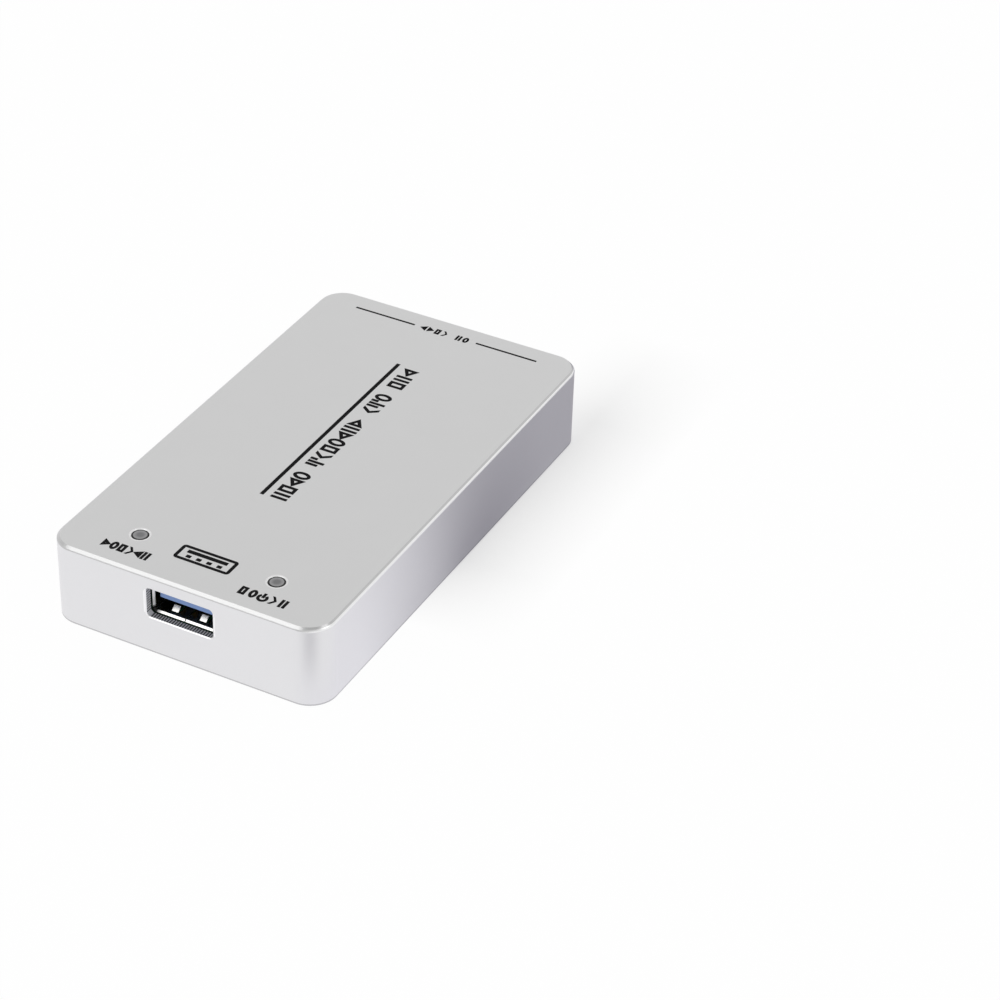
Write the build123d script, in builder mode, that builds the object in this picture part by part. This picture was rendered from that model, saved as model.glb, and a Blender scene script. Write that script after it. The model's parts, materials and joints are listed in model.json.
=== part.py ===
from build123d import *
import os

# Video capture box: a milled aluminium housing closed by a base plate from below, with a circuit board
# that carries a type A socket at the front end and a video input socket at the rear end.
# Millimetres. X runs across the box, Y along it with the front end at -Y, Z is up.
# The origin is the middle of the surface that the box stands on.

# Case
BOX_LENGTH = 100.0
BOX_WIDTH = 56.0
HOUSING_HEIGHT = 16.5
CORNER_RADIUS = 5.2
EDGE_CHAMFER = 0.6
EDGE_SOFTENING = 0.5
WALL = 2.1
ROOF = 1.8

# Base plate, set into a rabbet in the housing's lower edge
PLATE_THICKNESS = 1.6
PLATE_LEDGE = 1.0
PLATE_CLEARANCE = 0.1
PLATE_CHAMFER = 0.2

# Thin rubber feet, stuck on the base plate
FOOT_DIAMETER = 8.0
FOOT_THICKNESS = 0.3
FOOT_FROM_SIDE = 8.5
FOOT_FROM_END = 12.5

# Long countersunk screws, each through plate, standoff and board into a corner boss
SCREW_DIAMETER = 2.0
SCREW_LENGTH = 12.0
SCREW_CLEARANCE = 0.05
SCREW_HOLE_SPARE = 0.6
HEAD_DIAMETER = 3.8
HEAD_ANGLE = 90
HEAD_SUNK = 0.15
DRIVE_WIDTH = 1.9
DRIVE_SLOT = 0.45
DRIVE_DEPTH = 0.7

# Square bosses milled with the housing and six-sided standoffs in the plate, which clamp the board
BOSS_FROM_WALL = 3.4
STANDOFF_RADIUS = 2.9
STANDOFF_SIDES = 6

# Circuit board
BOARD_THICKNESS = 1.6
BOARD_EDGE_CLEARANCE = 0.9
BOARD_HOLE_CLEARANCE = 0.1
SOLDER_SLOT_CLEARANCE = 0.15
FILM_THICKNESS = 0.25
FILM_EDGE_CLEARANCE = 0.5

# Type A socket at the front end
USB_FROM_MIDDLE = -0.4
USB_SETBACK = 1.7
USB_SHELL_WIDTH = 13.1
USB_SHELL_HEIGHT = 5.7
USB_SHELL_LENGTH = 17.5
USB_SHELL_RADIUS = 0.7
USB_WINDOW_SIDE_GAP = 0.25
USB_WINDOW_TOP_GAP = 0.2
USB_WINDOW_RADIUS = 0.8
USB_WINDOW_WALL = 1.5
USB_POCKET_MARGIN = 0.8
USB_GASKET_THICKNESS = 1.25
USB_SEAM = 0.2
USB_TONGUE_WIDTH = 11.1
USB_TONGUE_THICKNESS = 1.84
USB_TONGUE_SETBACK = 0.7
USB_TONGUE_ROUNDING = 0.4
USB_TONGUE_ABOVE = 0.75
USB_BLOCK_LENGTH = 4.0
USB_BLOCK_FROM_REAR = 2.0
USB_CONTACT_WIDTH = 1.0
USB_CONTACT_SETBACK = 3.4
USB_CONTACT_RISE = 0.6
USB_CONTACT_BOW = [1.0, 3.0]
DATA_CONTACT_OFFSETS = [-3.5, -1.0, 1.0, 3.5]
SUPERSPEED_CONTACT_WIDTH = 0.7
SUPERSPEED_CONTACT_PITCH = 2.0
SUPERSPEED_CONTACT_COUNT = 5
SUPERSPEED_PAD_LENGTH = 1.7
SUPERSPEED_PAD_SETBACK = 0.4

# Video input socket at the rear end
HDMI_SETBACK = 1.6
HDMI_OPENING_WIDTH = 14.0
HDMI_OPENING_HEIGHT = 4.55
HDMI_OPENING_SIDE = 2.3
HDMI_OPENING_FLOOR = 9.8
HDMI_OPENING_RADIUS = 0.45
HDMI_SHELL_LENGTH = 11.5
HDMI_WINDOW_GAP = 0.25
HDMI_TONGUE_WIDTH = 11.2
HDMI_TONGUE_THICKNESS = 1.2
HDMI_TONGUE_SETBACK = 1.1
HDMI_TONGUE_ABOVE = 1.45
HDMI_TONGUE_CHAMFER = 0.18
HDMI_BLOCK_LENGTH = 2.6
HDMI_BLOCK_FROM_REAR = 1.7
HDMI_CONTACT_WIDTH = 0.36
HDMI_CONTACT_PITCH = 1.0
HDMI_CONTACT_SETBACK = 0.4
HDMI_UPPER_COUNT = 10
HDMI_LOWER_COUNT = 9

# What both sockets share
SHEET = 0.3
LEAD_IN = 0.28
LEAD_IN_DEPTH = 0.35
SOCKET_SEAT_GAP = 0.15
SOCKET_BLOCK_CLEARANCE = 0.05
WINDOW_CHAMFER = 0.18
CONTACT_THICKNESS = 0.2
CONTACT_CLEARANCE = 0.02
TAIL_SPACING = 0.7
TAIL_WINDOW_GAP = 0.3
LEG_WIDTH = 1.5
LEG_THROUGH = 0.8
USB_LEGS_FROM_FRONT = [7.0, 14.0]
HDMI_LEGS_FROM_FRONT = [3.6, 9.6]
FINGER_SHEET_SHARE = 0.8
FINGER_WIDTH = 1.3
FINGER_SLOT = 0.25
FINGER_TIP = 1.4
FINGER_APEX = 2.3
FINGER_ROOT = 7.0
FINGER_RISE = 0.75
USB_FINGER_OFFSET = 2.86
HDMI_FINGER_OFFSET = 2.4
GASKET_LENGTH = 4.5
GASKET_FROM_FINGERS = 0.8
GASKET_WIDTH = 10.0

# Indicator lights: a lamp on the board and a light pipe up through the roof
LENS_WIDTH_SHARE = 0.25
LENS_FROM_FRONT = 9.6
LENS_HOLE_DIAMETER = 3.2
LENS_CLEARANCE = 0.14
LENS_RECESS = 0.06
LENS_RIM_CHAMFER = 0.12
PIPE_WIDTH = 4.2
LAMP_LENGTH = 2.0
LAMP_WIDTH = 1.25
LAMP_BASE_HEIGHT = 0.35
LAMP_DOME_HEIGHT = 0.45
LAMP_DOME_MARGIN = 0.25
LAMP_DOME_DRAFT = 10
LAMP_GAP = 0.3

# Chips
RECEIVER_HEIGHT = 1.4
RECEIVER_LEADS_PER_SIDE = 13
RECEIVER_LEAD_WIDTH = 0.4
CHIP_STANDOFF = 0.1
CHIP_BEVEL = 0.25
LEAD_REACH = 1.0
LEAD_THICKNESS = 0.15
LEAD_FOOT_SHARE = 0.45
PROCESSOR_SUBSTRATE = 0.5
PROCESSOR_CAP_MARGIN = 1.0
PROCESSOR_CAP_HEIGHT = 0.85
BALL_GAP = 0.25
THERMAL_PAD_THICKNESS = 1.0
THERMAL_PAD_MARGIN = 1.5
HEAT_BLOCK_MARGIN = 0.5
BRIDGE_HEIGHT = 1.1
MEMORY_HEIGHT = 1.0
SMALL_CHIP_WIDTH = 3.9
SMALL_CHIP_LENGTH = 4.9
SMALL_CHIP_HEIGHT = 1.4
SMALL_CHIP_LEADS_PER_SIDE = 4
SMALL_CHIP_LEAD_PITCH = 1.27
SMALL_CHIP_LEAD_WIDTH = 0.42
REGULATOR_WIDTH = 1.6
REGULATOR_LENGTH = 2.9
REGULATOR_HEIGHT = 1.1
REGULATOR_LEADS_PER_SIDE = 3
REGULATOR_LEAD_PITCH = 0.95
REGULATOR_LEAD_WIDTH = 0.38
REGULATOR_LEAD_REACH = 0.6

# Other parts on the board
CRYSTAL_LENGTH = 3.2
CRYSTAL_WIDTH = 2.5
CRYSTAL_BASE = 0.35
CRYSTAL_LID = 0.4
CRYSTAL_LID_MARGIN = 0.2
INDUCTOR_HEIGHT = 2.0
INDUCTOR_CORNER = 0.9
INDUCTOR_LID_MARGIN = 0.5
INDUCTOR_LID_DEPTH = 0.3
TANTALUM_LENGTH = 3.5
TANTALUM_WIDTH = 2.8
TANTALUM_HEIGHT = 1.9
TANTALUM_SPLIT = 0.8
TANTALUM_DRAFT = 0.15
CAN_DIAMETER = 6.3
CAN_HEIGHT = 4.9
CAN_NECK_DEPTH = 0.3
CAN_NECK_HEIGHT = 0.5
CAN_SHOULDER = 0.9
CAN_BASE_SIZE = 6.6
CAN_BASE_HEIGHT = 0.6
CAN_BASE_CORNER = 1.4
SURGE_LENGTH = 2.5
SURGE_WIDTH = 1.0
SURGE_HEIGHT = 0.5
SURGE_COUNT = 4
SURGE_PITCH = 3.4
FILTER_LENGTH = 2.0
FILTER_WIDTH = 1.2
FILTER_HEIGHT = 0.9
FILTER_CHAMFER = 0.12
FILTER_COUNT = 3
FILTER_PITCH = 3.2
FUSE_LENGTH = 3.2
FUSE_WIDTH = 1.6
FUSE_HEIGHT = 0.7
CHIP_CAPACITOR_LENGTH = 1.6
CHIP_CAPACITOR_WIDTH = 0.8
CHIP_CAPACITOR_HEIGHT = 0.8
CHIP_CAPACITOR_PITCH = 2.6
CHIP_CAPACITOR_GAP = 1.1
CAPACITORS_PER_SIDE = 6
UNDERSIDE_ROWS = 3
UNDERSIDE_COLUMNS = 4
RESISTOR_LENGTH = 1.6
RESISTOR_WIDTH = 0.8
RESISTOR_HEIGHT = 0.45
RESISTOR_PITCH = 1.5
RESISTOR_COUNT = 6
ROW_GAP = 1.8
COLUMN_GAP = 1.2

# Sizes of the main parts, as shares of the room that each has on the board
PROCESSOR_WIDTH_SHARE = 0.38
RECEIVER_ROOM_SHARE = 0.715
RECEIVER_LEAD_ROW_SHARE = 0.86
BRIDGE_ROOM_SHARE = 0.625
MEMORY_WIDTH_SHARE = 0.7
MEMORY_LENGTH_SHARE = 0.28
INDUCTOR_WIDTH_SHARE = 0.38

# Places along the side columns, as shares of half the board's length, towards the rear
MEMORY_PLACE_SHARE = 0.10
FLASH_PLACE_SHARE = -0.17
DISPLAY_MEMORY_PLACE_SHARE = 0.47
TANTALUM_PLACE_SHARES = [-0.32, -0.43]
CAN_PLACE_SHARE = -0.42
INDUCTOR_PLACE_SHARES = [-0.14, 0.04, 0.22]

# One overrun for every cut that leaves a face
OVERRUN = 1.0

# Heights, from the surface that the box stands on
housing_bottom = FOOT_THICKNESS
housing_top = housing_bottom + HOUSING_HEIGHT
ceiling = housing_top - ROOF
plate_top = housing_bottom + PLATE_THICKNESS
head_bottom = housing_bottom + HEAD_SUNK
screw_tip = head_bottom + SCREW_LENGTH
usb_shell_top = ceiling - USB_GASKET_THICKNESS
usb_shell_bottom = usb_shell_top - USB_SHELL_HEIGHT
usb_middle = usb_shell_bottom + USB_SHELL_HEIGHT / 2
board_top = usb_shell_bottom - SOCKET_SEAT_GAP
board_bottom = board_top - BOARD_THICKNESS
hdmi_floor = board_top + SOCKET_SEAT_GAP + SHEET
hdmi_shell_top = hdmi_floor + HDMI_OPENING_HEIGHT + SHEET

# Plan sizes
cavity_width = BOX_WIDTH - 2 * WALL
cavity_length = BOX_LENGTH - 2 * WALL
cavity_radius = CORNER_RADIUS - WALL
rabbet_width = cavity_width + 2 * PLATE_LEDGE
rabbet_length = cavity_length + 2 * PLATE_LEDGE
rabbet_radius = cavity_radius + PLATE_LEDGE
board_width = cavity_width - 2 * BOARD_EDGE_CLEARANCE
board_length = cavity_length - 2 * BOARD_EDGE_CLEARANCE
front_face = -BOX_LENGTH / 2
rear_face = BOX_LENGTH / 2
usb_front = front_face + USB_SETBACK
usb_rear = usb_front + USB_SHELL_LENGTH
hdmi_front = rear_face - HDMI_SETBACK
hdmi_rear = hdmi_front - HDMI_SHELL_LENGTH

# Openings in the shells' floors behind the blocks, where the contact tails go down to the board
usb_tail_window = USB_BLOCK_FROM_REAR + TAIL_WINDOW_GAP
hdmi_tail_window = HDMI_BLOCK_FROM_REAR + TAIL_WINDOW_GAP

# Places that several pieces share
boss_x = cavity_width / 2 - BOSS_FROM_WALL
boss_y = cavity_length / 2 - BOSS_FROM_WALL
boss_places = [(sx * boss_x, sy * boss_y) for sx in (-1, 1) for sy in (-1, 1)]
foot_x = BOX_WIDTH / 2 - FOOT_FROM_SIDE
foot_y = BOX_LENGTH / 2 - FOOT_FROM_END
lens_y = front_face + LENS_FROM_FRONT
lens_x = LENS_WIDTH_SHARE * BOX_WIDTH
lens_places = {
    "action": (USB_FROM_MIDDLE - lens_x, lens_y),
    "power": (USB_FROM_MIDDLE + lens_x, lens_y),
}

# Rows along the middle of the board, from the rear socket to the front one
processor_size = PROCESSOR_WIDTH_SHARE * board_width
ring_reach = processor_size / 2 + CHIP_CAPACITOR_GAP + CHIP_CAPACITOR_LENGTH
surge_y = hdmi_rear - ROW_GAP
receiver_room = surge_y - SURGE_WIDTH / 2 - ring_reach
receiver_y = ring_reach + receiver_room / 2
receiver_size = RECEIVER_ROOM_SHARE * receiver_room - 2 * LEAD_REACH
receiver_pitch = RECEIVER_LEAD_ROW_SHARE * receiver_size / (RECEIVER_LEADS_PER_SIDE - 1)
filter_y = usb_rear + ROW_GAP
bridge_room = -ring_reach - filter_y - FILTER_LENGTH / 2
bridge_y = -ring_reach - bridge_room / 2
bridge_size = BRIDGE_ROOM_SHARE * bridge_room

# Columns at the two sides of the board
half_board = board_length / 2
column_width = board_width / 2 - ring_reach
column_x = ring_reach + column_width / 2
memory_width = MEMORY_WIDTH_SHARE * column_width
memory_length = MEMORY_LENGTH_SHARE * half_board
inductor_size = INDUCTOR_WIDTH_SHARE * column_width

# Tops of the two chips that shed heat into the roof
receiver_top = board_top + CHIP_STANDOFF + RECEIVER_HEIGHT
processor_top = board_top + BALL_GAP + PROCESSOR_SUBSTRATE + PROCESSOR_CAP_HEIGHT
receiver_pad_size = receiver_size - 2 * THERMAL_PAD_MARGIN
processor_pad_size = processor_size - 2 * PROCESSOR_CAP_MARGIN - 2 * THERMAL_PAD_MARGIN

os.makedirs("parts", exist_ok=True)


def save(piece, name):
    """Label one finished piece and write it to its own file."""
    piece.part.label = name
    export_step(piece.part, f"parts/{name}.step")


def facing(y):
    """Upright plane across the box at a place along it: X stays X, the plane's Y is height."""
    return Plane.XZ.offset(-y)


def lengthwise(x):
    """Upright plane along the box at a place across it: Y along the box, then height."""
    return Plane.YZ.offset(x)


def row(count, pitch):
    """Places of evenly spaced things about the middle."""
    return [(number - (count - 1) / 2) * pitch for number in range(count)]


def hole_edges(face):
    """Edges of every hole in a face."""
    return [edge for wire in face.inner_wires() for edge in wire.edges()]


# Outline of the video socket's opening: square above, drawn in towards the floor
with BuildSketch() as hdmi_opening:
    with BuildLine():
        Polyline(
            (-HDMI_OPENING_WIDTH / 2, HDMI_OPENING_HEIGHT),
            (HDMI_OPENING_WIDTH / 2, HDMI_OPENING_HEIGHT),
            (HDMI_OPENING_WIDTH / 2, HDMI_OPENING_HEIGHT - HDMI_OPENING_SIDE),
            (HDMI_OPENING_FLOOR / 2, 0),
            (-HDMI_OPENING_FLOOR / 2, 0),
            (-HDMI_OPENING_WIDTH / 2, HDMI_OPENING_HEIGHT - HDMI_OPENING_SIDE),
            close=True,
        )
    make_face()
    fillet(hdmi_opening.vertices(), HDMI_OPENING_RADIUS)


def hdmi_outline(grow):
    """The video socket's opening, set at its height in the socket's plane and grown all round."""
    with Locations((0, hdmi_floor)):
        add(hdmi_opening.sketch)
    if grow != 0:
        offset(amount=grow)


def usb_outline(side_gap, top_gap, radius, mode=Mode.ADD):
    """The type A shell's outline, grown at the sides and at the top and bottom."""
    with Locations((USB_FROM_MIDDLE, usb_middle)):
        RectangleRounded(
            USB_SHELL_WIDTH + 2 * side_gap,
            USB_SHELL_HEIGHT + 2 * top_gap,
            radius,
            mode=mode,
        )


def make_housing_shell():
    """Body milled from one block, open below: walls thinned at the window, bosses and heat blocks."""
    with BuildPart() as housing_shell:
        with BuildSketch(Plane.XY.offset(housing_bottom)):
            RectangleRounded(BOX_WIDTH, BOX_LENGTH, CORNER_RADIUS)
        extrude(amount=HOUSING_HEIGHT)
        chamfer(housing_shell.faces().sort_by(Axis.Z)[-1].edges(), EDGE_CHAMFER)
        shoulder = housing_shell.edges().filter_by_position(
            Axis.Z, housing_top - EDGE_CHAMFER, housing_top - EDGE_CHAMFER
        )
        fillet(shoulder, EDGE_SOFTENING)

        with BuildSketch(Plane.XY.offset(housing_bottom)):
            RectangleRounded(cavity_width, cavity_length, cavity_radius)
        extrude(amount=HOUSING_HEIGHT - ROOF, mode=Mode.SUBTRACT)

        with BuildSketch(Plane.XY.offset(board_top)):
            with Locations(*boss_places):
                Rectangle(2 * BOSS_FROM_WALL, 2 * BOSS_FROM_WALL)
        extrude(amount=ceiling - board_top)

        processor_block = processor_pad_size + 2 * HEAT_BLOCK_MARGIN
        with BuildSketch(Plane.XY.offset(processor_top + THERMAL_PAD_THICKNESS)):
            Rectangle(processor_block, processor_block)
        extrude(amount=ceiling - processor_top - THERMAL_PAD_THICKNESS)
        receiver_block = receiver_pad_size + 2 * HEAT_BLOCK_MARGIN
        with BuildSketch(Plane.XY.offset(receiver_top + THERMAL_PAD_THICKNESS)):
            with Locations((0, receiver_y)):
                Rectangle(receiver_block, receiver_block)
        extrude(amount=ceiling - receiver_top - THERMAL_PAD_THICKNESS)

        with BuildSketch(Plane.XY.offset(housing_bottom)):
            RectangleRounded(rabbet_width, rabbet_length, rabbet_radius)
        extrude(amount=PLATE_THICKNESS, mode=Mode.SUBTRACT)

        with BuildSketch(Plane.XY.offset(board_top)):
            with Locations(*boss_places):
                Circle(SCREW_DIAMETER / 2 + SCREW_CLEARANCE)
        extrude(amount=screw_tip + SCREW_HOLE_SPARE - board_top, mode=Mode.SUBTRACT)

        with BuildSketch(facing(front_face)):
            usb_outline(USB_WINDOW_SIDE_GAP, USB_WINDOW_TOP_GAP, USB_WINDOW_RADIUS)
        extrude(amount=-WALL, mode=Mode.SUBTRACT)
        with BuildSketch(facing(front_face + USB_WINDOW_WALL)):
            usb_outline(
                USB_WINDOW_SIDE_GAP + USB_POCKET_MARGIN,
                USB_WINDOW_TOP_GAP + USB_POCKET_MARGIN,
                USB_WINDOW_RADIUS,
            )
        extrude(amount=USB_WINDOW_WALL - WALL, mode=Mode.SUBTRACT)
        with BuildSketch(facing(rear_face)):
            hdmi_outline(SHEET + HDMI_WINDOW_GAP)
        extrude(amount=WALL, mode=Mode.SUBTRACT)
        end_faces = housing_shell.faces().sort_by(Axis.Y)
        chamfer(hole_edges(end_faces[0]) + hole_edges(end_faces[-1]), WINDOW_CHAMFER)

        with BuildSketch(Plane.XY.offset(ceiling)):
            with Locations(*lens_places.values()):
                Circle(LENS_HOLE_DIAMETER / 2)
        extrude(amount=ROOF, mode=Mode.SUBTRACT)
        chamfer(hole_edges(housing_shell.faces().sort_by(Axis.Z)[-1]), LENS_RIM_CHAMFER)
    save(housing_shell, "housing_shell")


def make_base_plate():
    """Plate in the rabbet, with a six-sided standoff at each corner round a countersunk hole."""
    with BuildPart() as base_plate:
        with BuildSketch(Plane.XY.offset(housing_bottom)):
            RectangleRounded(
                rabbet_width - 2 * PLATE_CLEARANCE,
                rabbet_length - 2 * PLATE_CLEARANCE,
                rabbet_radius - PLATE_CLEARANCE,
            )
        extrude(amount=PLATE_THICKNESS)
        chamfer(base_plate.faces().sort_by(Axis.Z)[0].edges(), PLATE_CHAMFER)
        with BuildSketch(Plane.XY.offset(plate_top)):
            with Locations(*boss_places):
                RegularPolygon(STANDOFF_RADIUS, STANDOFF_SIDES)
        extrude(amount=board_bottom - plate_top)
        underside = [Plane(origin=(x, y, housing_bottom), z_dir=(0, 0, -1)) for x, y in boss_places]
        with Locations(*underside):
            CounterSinkHole(
                radius=SCREW_DIAMETER / 2 + SCREW_CLEARANCE,
                counter_sink_radius=HEAD_DIAMETER / 2 + SCREW_CLEARANCE + HEAD_SUNK,
                counter_sink_angle=HEAD_ANGLE,
            )
    save(base_plate, "base_plate")


def make_feet():
    """Four thin rubber discs under the plate."""
    ends = {"front": -1, "rear": 1}
    sides = {"left": -1, "right": 1}
    for end, along in ends.items():
        for side, across in sides.items():
            with BuildPart() as foot:
                with BuildSketch():
                    with Locations((across * foot_x, along * foot_y)):
                        Circle(FOOT_DIAMETER / 2)
                extrude(amount=FOOT_THICKNESS)
            save(foot, f"foot_{end}_{side}")


def make_base_screws():
    """Countersunk screws with a cross recess, heads down in the plate and tips up in the bosses."""
    with BuildPart() as base_screws:
        with BuildSketch(Plane.XY.offset(head_bottom)):
            with Locations(*boss_places):
                Circle(SCREW_DIAMETER / 2)
        extrude(amount=SCREW_LENGTH)
        with BuildSketch(Plane.XY.offset(head_bottom)):
            with Locations(*boss_places):
                Circle(HEAD_DIAMETER / 2)
        extrude(amount=(HEAD_DIAMETER - SCREW_DIAMETER) / 2, taper=HEAD_ANGLE / 2)
        with BuildSketch(Plane.XY.offset(head_bottom)):
            with Locations(*boss_places):
                Rectangle(DRIVE_WIDTH, DRIVE_SLOT)
                Rectangle(DRIVE_SLOT, DRIVE_WIDTH)
        extrude(amount=DRIVE_DEPTH, mode=Mode.SUBTRACT)
    save(base_screws, "base_screws")


def make_insulating_sheet():
    """Film that lies on the base plate under the board, its corners cut to clear the standoffs."""
    standoff_reach = STANDOFF_RADIUS + FILM_EDGE_CLEARANCE
    corner_cut = 2 * (BOSS_FROM_WALL - FILM_EDGE_CLEARANCE) + standoff_reach * 2**0.5
    with BuildPart() as insulating_sheet:
        with BuildSketch(Plane.XY.offset(plate_top)) as film_outline:
            Rectangle(cavity_width - 2 * FILM_EDGE_CLEARANCE, cavity_length - 2 * FILM_EDGE_CLEARANCE)
            chamfer(film_outline.vertices(), corner_cut)
        extrude(amount=FILM_THICKNESS)
    save(insulating_sheet, "insulating_sheet")


# Places of the solder legs, in line with the side walls of the two shells
usb_leg_x = USB_SHELL_WIDTH / 2 - SHEET / 2
usb_leg_places = [
    (USB_FROM_MIDDLE + side * usb_leg_x, usb_front + distance)
    for side in (-1, 1)
    for distance in USB_LEGS_FROM_FRONT
]
hdmi_leg_x = HDMI_OPENING_WIDTH / 2 + SHEET / 2
hdmi_leg_places = [
    (side * hdmi_leg_x, hdmi_front - distance)
    for side in (-1, 1)
    for distance in HDMI_LEGS_FROM_FRONT
]


def make_main_board():
    """Circuit board with holes for the screws and slots for the solder legs of the sockets."""
    with BuildPart() as main_board:
        with BuildSketch(Plane.XY.offset(board_bottom)):
            RectangleRounded(board_width, board_length, cavity_radius - BOARD_EDGE_CLEARANCE)
            with Locations(*boss_places):
                Circle(SCREW_DIAMETER / 2 + BOARD_HOLE_CLEARANCE, mode=Mode.SUBTRACT)
            with Locations(*usb_leg_places, *hdmi_leg_places):
                Rectangle(
                    SHEET + 2 * SOLDER_SLOT_CLEARANCE,
                    LEG_WIDTH + 2 * SOLDER_SLOT_CLEARANCE,
                    mode=Mode.SUBTRACT,
                )
        extrude(amount=BOARD_THICKNESS)
    save(main_board, "main_board")


def make_light_pipes():
    """Light guides: the lens in the roof on a wider square rod, glued to the roof by its shoulder."""
    rod_bottom = board_top + LAMP_BASE_HEIGHT + LAMP_DOME_HEIGHT + LAMP_GAP
    for name, place in lens_places.items():
        with BuildPart() as light_pipe:
            with BuildSketch(Plane.XY.offset(rod_bottom)):
                with Locations(place):
                    Rectangle(PIPE_WIDTH, PIPE_WIDTH)
            extrude(amount=ceiling - rod_bottom)
            with BuildSketch(Plane.XY.offset(ceiling)):
                with Locations(place):
                    Circle(LENS_HOLE_DIAMETER / 2 - LENS_CLEARANCE)
            extrude(amount=ROOF - LENS_RECESS)
        save(light_pipe, f"{name}_light_pipe")


def make_lamps():
    """Surface-mounted lamps under the light pipes: a base with a drawn-in dome."""
    for name, place in lens_places.items():
        with BuildPart() as lamp:
            with BuildSketch(Plane.XY.offset(board_top)):
                with Locations(place):
                    Rectangle(LAMP_LENGTH, LAMP_WIDTH)
            extrude(amount=LAMP_BASE_HEIGHT)
            with BuildSketch(Plane.XY.offset(board_top + LAMP_BASE_HEIGHT)):
                with Locations(place):
                    Rectangle(LAMP_LENGTH - 2 * LAMP_DOME_MARGIN, LAMP_WIDTH)
            extrude(amount=LAMP_DOME_HEIGHT, taper=LAMP_DOME_DRAFT)
        save(lamp, f"{name}_led")


def spring_fingers(front, inward, offsets, floor, top):
    """Fingers cut from a shell's floor and top and bent into the opening, with free tips forward."""
    tip = front + inward * FINGER_TIP
    apex = front + inward * FINGER_APEX
    root = front + inward * FINGER_ROOT
    slot_middle = (tip + root - inward * FINGER_SLOT) / 2
    slot_length = FINGER_ROOT - FINGER_TIP + FINGER_SLOT
    for level in (floor, top):
        with BuildSketch(Plane.XY.offset(level - SHEET / 2)) as slots:
            with Locations(*[(x, slot_middle) for x in offsets]):
                Rectangle(FINGER_WIDTH + 2 * FINGER_SLOT, slot_length)
        extrude(slots.sketch, amount=SHEET, mode=Mode.SUBTRACT)
    for level, rises in ((floor, 1), (top, -1)):
        crest = level + rises * FINGER_RISE
        for x in offsets:
            with BuildSketch(lengthwise(x - FINGER_WIDTH / 2)) as side_view:
                with BuildLine():
                    Polyline(
                        (root + inward * FINGER_SLOT, level),
                        (root - inward * FINGER_SLOT, level),
                        (apex, crest),
                        (tip, level),
                    )
                trace(line_width=SHEET * FINGER_SHEET_SHARE)
            extrude(side_view.sketch, amount=FINGER_WIDTH)


def shell_legs(places, top):
    """Flat legs that run from a shell's side walls down through the board."""
    leg_bottom = board_bottom - LEG_THROUGH
    with BuildSketch(Plane.XY.offset(leg_bottom)) as legs:
        with Locations(*places):
            Rectangle(SHEET, LEG_WIDTH)
    extrude(legs.sketch, amount=top - leg_bottom)


def make_usb_shell():
    """Type A shell rolled from sheet, seam below, with a lead-in, spring fingers and four legs."""
    with BuildPart() as usb_shell:
        with BuildSketch(facing(usb_front)):
            usb_outline(0, 0, USB_SHELL_RADIUS)
            usb_outline(-SHEET, -SHEET, USB_SHELL_RADIUS - SHEET, Mode.SUBTRACT)
        extrude(amount=-USB_SHELL_LENGTH)
        with BuildSketch(facing(usb_front)):
            usb_outline(LEAD_IN - SHEET, LEAD_IN - SHEET, USB_SHELL_RADIUS - SHEET + LEAD_IN)
        with BuildSketch(facing(usb_front + LEAD_IN_DEPTH)):
            usb_outline(-SHEET, -SHEET, USB_SHELL_RADIUS - SHEET)
        loft(mode=Mode.SUBTRACT)

        with BuildSketch(Plane.XY.offset(usb_shell_bottom)):
            with Locations((USB_FROM_MIDDLE, (usb_front + usb_rear) / 2)):
                Rectangle(USB_SEAM, USB_SHELL_LENGTH)
            with Locations((USB_FROM_MIDDLE, usb_rear - usb_tail_window / 2)):
                Rectangle(USB_TONGUE_WIDTH, usb_tail_window)
        extrude(amount=SHEET, mode=Mode.SUBTRACT)
        spring_fingers(
            usb_front,
            1,
            [USB_FROM_MIDDLE - USB_FINGER_OFFSET, USB_FROM_MIDDLE + USB_FINGER_OFFSET],
            usb_shell_bottom + SHEET / 2,
            usb_shell_top - SHEET / 2,
        )
        shell_legs(usb_leg_places, usb_middle)
    save(usb_shell, "usb_shell")


# Type A tongue and block
usb_tongue_top = usb_shell_top - SHEET - USB_TONGUE_ABOVE
usb_tongue_bottom = usb_tongue_top - USB_TONGUE_THICKNESS
usb_tongue_front = usb_front + USB_TONGUE_SETBACK
usb_block_rear = usb_rear - USB_BLOCK_FROM_REAR
usb_block_front = usb_block_rear - USB_BLOCK_LENGTH


def contact_strips(path, width, places, grow=0.0, mode=Mode.ADD):
    """Bent metal strips of one section, side by side: a path along the box, given a thickness."""
    for x in places:
        with BuildSketch(lengthwise(x - width / 2 - grow)) as side_view:
            with BuildLine():
                Polyline(*path)
            trace(line_width=CONTACT_THICKNESS + 2 * grow)
        extrude(side_view.sketch, amount=width + 2 * grow, mode=mode)


data_places = [USB_FROM_MIDDLE + offset_x for offset_x in DATA_CONTACT_OFFSETS]
data_level = usb_tongue_bottom + CONTACT_THICKNESS
data_front = usb_tongue_front + USB_CONTACT_SETBACK
data_tail = usb_block_rear + TAIL_SPACING
data_path = [
    (data_front, data_level),
    (data_front + USB_CONTACT_BOW[0], usb_tongue_bottom - USB_CONTACT_RISE),
    (data_front + USB_CONTACT_BOW[1], data_level),
    (data_tail, data_level),
    (data_tail, board_top),
]
superspeed_places = [
    USB_FROM_MIDDLE + x for x in row(SUPERSPEED_CONTACT_COUNT, SUPERSPEED_CONTACT_PITCH)
]
pad_level = usb_tongue_bottom + CONTACT_THICKNESS / 2
upper_level = usb_tongue_top - CONTACT_THICKNESS
pad_front = usb_tongue_front + SUPERSPEED_PAD_SETBACK
pad_rear = pad_front + SUPERSPEED_PAD_LENGTH
superspeed_tail = data_tail + TAIL_SPACING
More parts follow.
